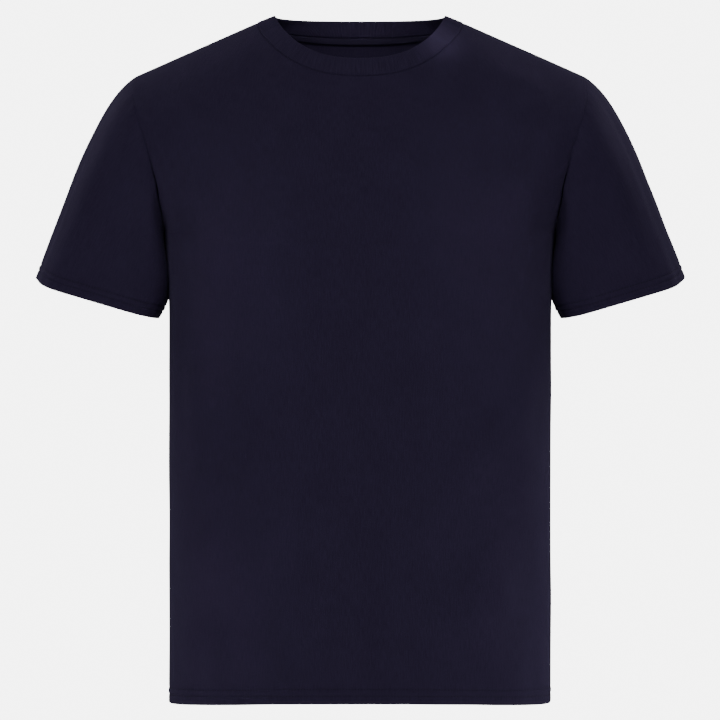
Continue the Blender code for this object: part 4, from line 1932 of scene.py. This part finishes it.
FRONT_CREASES = (
    Crease((-0.150, -0.140), (-0.108, -0.400), 0.026, 0.0042, bow=0.006),
    Crease((-0.196, -0.205), (-0.180, -0.370), 0.017, -0.0026),
    Crease((-0.174, -0.150), (-0.140, -0.360), 0.015, 0.0018, bow=0.006),
    Crease((-0.180, -0.290), (-0.178, -0.560), 0.012, 0.0012, bow=-0.003),
    Crease((-0.088, -0.395), (-0.100, -0.640), 0.024, 0.0034, bow=-0.004),
    Crease((-0.133, -0.450), (-0.140, -0.590), 0.013, -0.0013),
    Crease((-0.150, -0.420), (-0.158, -0.640), 0.018, 0.0020, bow=0.005),
    Crease((-0.050, -0.320), (-0.038, -0.600), 0.030, -0.0022, bow=0.004),
    Crease((0.082, -0.125), (0.106, -0.330), 0.036, 0.0044, bow=-0.008),
    Crease((0.130, -0.145), (0.118, -0.325), 0.028, 0.0022, bow=0.008),
    Crease((0.160, -0.205), (0.141, -0.300), 0.014, 0.0013, bow=-0.003),
    Crease((0.174, -0.265), (0.168, -0.390), 0.016, -0.0012),
    Crease((0.198, -0.170), (0.190, -0.345), 0.017, -0.0020),
    Crease((0.030, -0.285), (0.064, -0.475), 0.030, 0.0030, bow=-0.005),
    Crease((0.084, -0.345), (0.094, -0.455), 0.008, 0.0009, bow=0.002),
    Crease((0.240, -0.345), (0.075, -0.500), 0.018, 0.0038, bow=0.010),
    Crease((0.110, -0.455), (0.030, -0.610), 0.022, -0.0026, bow=0.006),
    Crease((0.126, -0.480), (0.142, -0.590), 0.020, 0.0016, bow=0.004),
    Crease((0.072, -0.540), (0.090, -0.725), 0.026, 0.0034, bow=-0.006),
    Crease((0.156, -0.555), (0.094, -0.668), 0.025, 0.0026, bow=0.007),
    Crease((-0.200, -0.660), (-0.050, -0.682), 0.011, 0.0018),
    Crease((-0.175, -0.610), (-0.065, -0.655), 0.015, -0.0018, bow=-0.005),
    Crease((-0.120, -0.040), (-0.020, -0.098), 0.012, 0.0014, bow=0.006),
    Crease((0.125, -0.045), (0.215, -0.085), 0.012, 0.0014, bow=-0.004),
    Crease((-0.205, -0.095), (-0.120, -0.190), 0.015, -0.0014, bow=-0.006),
    Crease((0.215, -0.100), (0.150, -0.185), 0.014, -0.0012, bow=0.005),
)
BACK_CREASES = (
    Crease((-0.175, -0.120), (-0.110, -0.330), 0.026, 0.0038, bow=0.008),
    Crease((0.170, -0.110), (0.118, -0.340), 0.030, 0.0040, bow=-0.008),
    Crease((-0.060, -0.060), (-0.035, -0.210), 0.024, 0.0022, bow=0.004),
    Crease((0.050, -0.070), (0.030, -0.230), 0.022, 0.0020),
    Crease((-0.225, -0.330), (-0.060, -0.470), 0.019, 0.0034, bow=-0.010),
    Crease((0.235, -0.360), (0.070, -0.490), 0.018, 0.0034, bow=0.010),
    Crease((0.200, -0.440), (0.085, -0.570), 0.018, -0.0022, bow=0.008),
    Crease((-0.190, -0.420), (-0.100, -0.540), 0.017, -0.0020, bow=-0.008),
    Crease((-0.130, -0.480), (-0.118, -0.720), 0.024, 0.0030, bow=0.004),
    Crease((0.118, -0.520), (0.100, -0.725), 0.026, 0.0030, bow=-0.005),
    Crease((0.190, -0.655), (0.060, -0.680), 0.011, 0.0016),
    Crease((-0.205, -0.195), (-0.195, -0.350), 0.017, -0.0022),
    Crease((0.200, -0.190), (0.192, -0.350), 0.017, -0.0022),
)
LEFT_SLEEVE_CREASES = (
    Crease((0.70, -0.085), (1.25, -0.205), 0.24, 0.0016),
    Crease((1.95, -0.130), (1.10, -0.262), 0.22, -0.0022, bow=0.06),
    Crease((2.30, -0.190), (1.70, -0.290), 0.20, 0.0018),
    Crease((0.35, -0.120), (0.60, -0.250), 0.26, -0.0014),
    Crease((5.40, -0.100), (4.90, -0.220), 0.26, 0.0016),
    Crease((4.30, -0.150), (5.10, -0.265), 0.22, -0.0020),
    Crease((4.10, -0.200), (4.50, -0.290), 0.20, 0.0014),
)
RIGHT_SLEEVE_CREASES = (
    Crease((0.55, -0.080), (1.05, -0.215), 0.26, 0.0018),
    Crease((2.05, -0.140), (1.25, -0.250), 0.20, -0.0022, bow=-0.05),
    Crease((2.20, -0.180), (1.45, -0.285), 0.20, 0.0016, bow=0.04),
    Crease((0.25, -0.150), (0.45, -0.262), 0.24, -0.0012),
    Crease((5.55, -0.095), (5.05, -0.230), 0.24, 0.0016),
    Crease((4.35, -0.160), (5.00, -0.270), 0.20, -0.0020),
)


@dataclass
class TShirt:
    """The whole garment, piece by piece, with the heights of its cloth's waves and seam puckers."""

    body: BodyForm = field(default_factory=BodyForm)
    waves: float = 0.0009
    hem_pucker: float = 0.00016
    cap_pucker: float = 0.00035
    cuff_pucker: float = 0.00018

    def panel(self, side: Side, creases: Tuple[Crease, ...], seed: int, length: float, area: float) -> Panel:
        """The front or the back, with its flat length and area."""
        pucker = Pucker(seed + 10, self.hem_pucker)
        return Panel(side, self.body, creases, Unevenness(seed, self.waves), pucker,
                     flat_width=0.545, flat_length=length, flat_area=area)

    def sleeve(self, form: SleeveForm, hand: Hand, creases: Tuple[Crease, ...], seed: int) -> Sleeve:
        """The left or the right sleeve."""
        puckers = Pucker(seed + 10, self.cap_pucker), Pucker(seed + 20, self.cuff_pucker)
        return Sleeve(hand, form, creases, Unevenness(seed, self.waves), *puckers,
                      flat_width=0.42, flat_length=0.26, flat_area=0.078)

    def build(self) -> None:
        """Builds and dresses every piece in the order in which it is sewn."""
        jersey = JerseyFinish().material()
        rib = RibFinish().material()
        tape, edging = TAPE_TWILL.material(), OVERLOCK.material()
        thread = ThreadFinish().material()
        seams = SeamEdges(self.body)
        front = self.panel(Side.FRONT, FRONT_CREASES, seed=11, length=0.76, area=0.36)
        back = self.panel(Side.BACK, BACK_CREASES, seed=12, length=0.78, area=0.37)
        form = SleeveForm(self.body)
        sleeves = (self.sleeve(form, Hand.LEFT, LEFT_SLEEVE_CREASES, seed=13),
                   self.sleeve(form, Hand.RIGHT, RIGHT_SLEEVE_CREASES, seed=14))
        for piece in (front, back, *sleeves):
            piece.build()
        above_hem = back.hem.depth + seams.end_gap
        neck_edge = self.bind(seams.front_neck_seam(), edging)
        back_edges = [self.bind(edge, edging) for hand in Hand
                      for edge in (seams.side_seam(hand, above_hem), seams.shoulder_seam(hand))]
        front.finish(jersey, (front.sew_hem(thread),))
        back.finish(jersey, (back.sew_hem(thread), *back_edges))
        for sleeve in sleeves:
            armhole_edge = self.bind(seams.armhole_seam(sleeve), edging)
            sleeve.finish(jersey, (sleeve.sew_hem(thread), armhole_edge))
        Neckband(self.body).finish(rib, (neck_edge,))
        NeckTape(seams).finish(tape)

    def bind(self, edge: Object, edging: Material) -> Object:
        """Dresses an overlocked seam edge."""
        edge.data.materials.append(edging)
        return settle(edge)


def plain_box(box: Sequence[Sequence[float]]) -> List[List[float]]:
    """A box's two corners as plain lists."""
    return [[float(value) for value in corner] for corner in box]


def main() -> Tuple[List[List[float]], List[List[float]]]:
    """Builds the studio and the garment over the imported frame.

    Returns:
        The solids' box and the finished garment's box.
    """
    logging.basicConfig(level=logging.INFO, format="%(name)s %(message)s")
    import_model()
    solid_box = plain_box(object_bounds())
    studio = Studio()
    studio.camera()
    studio.room()
    studio.light()
    TShirt().build()
    return solid_box, plain_box(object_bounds())


if __name__ == "__main__":
    boxes = main()
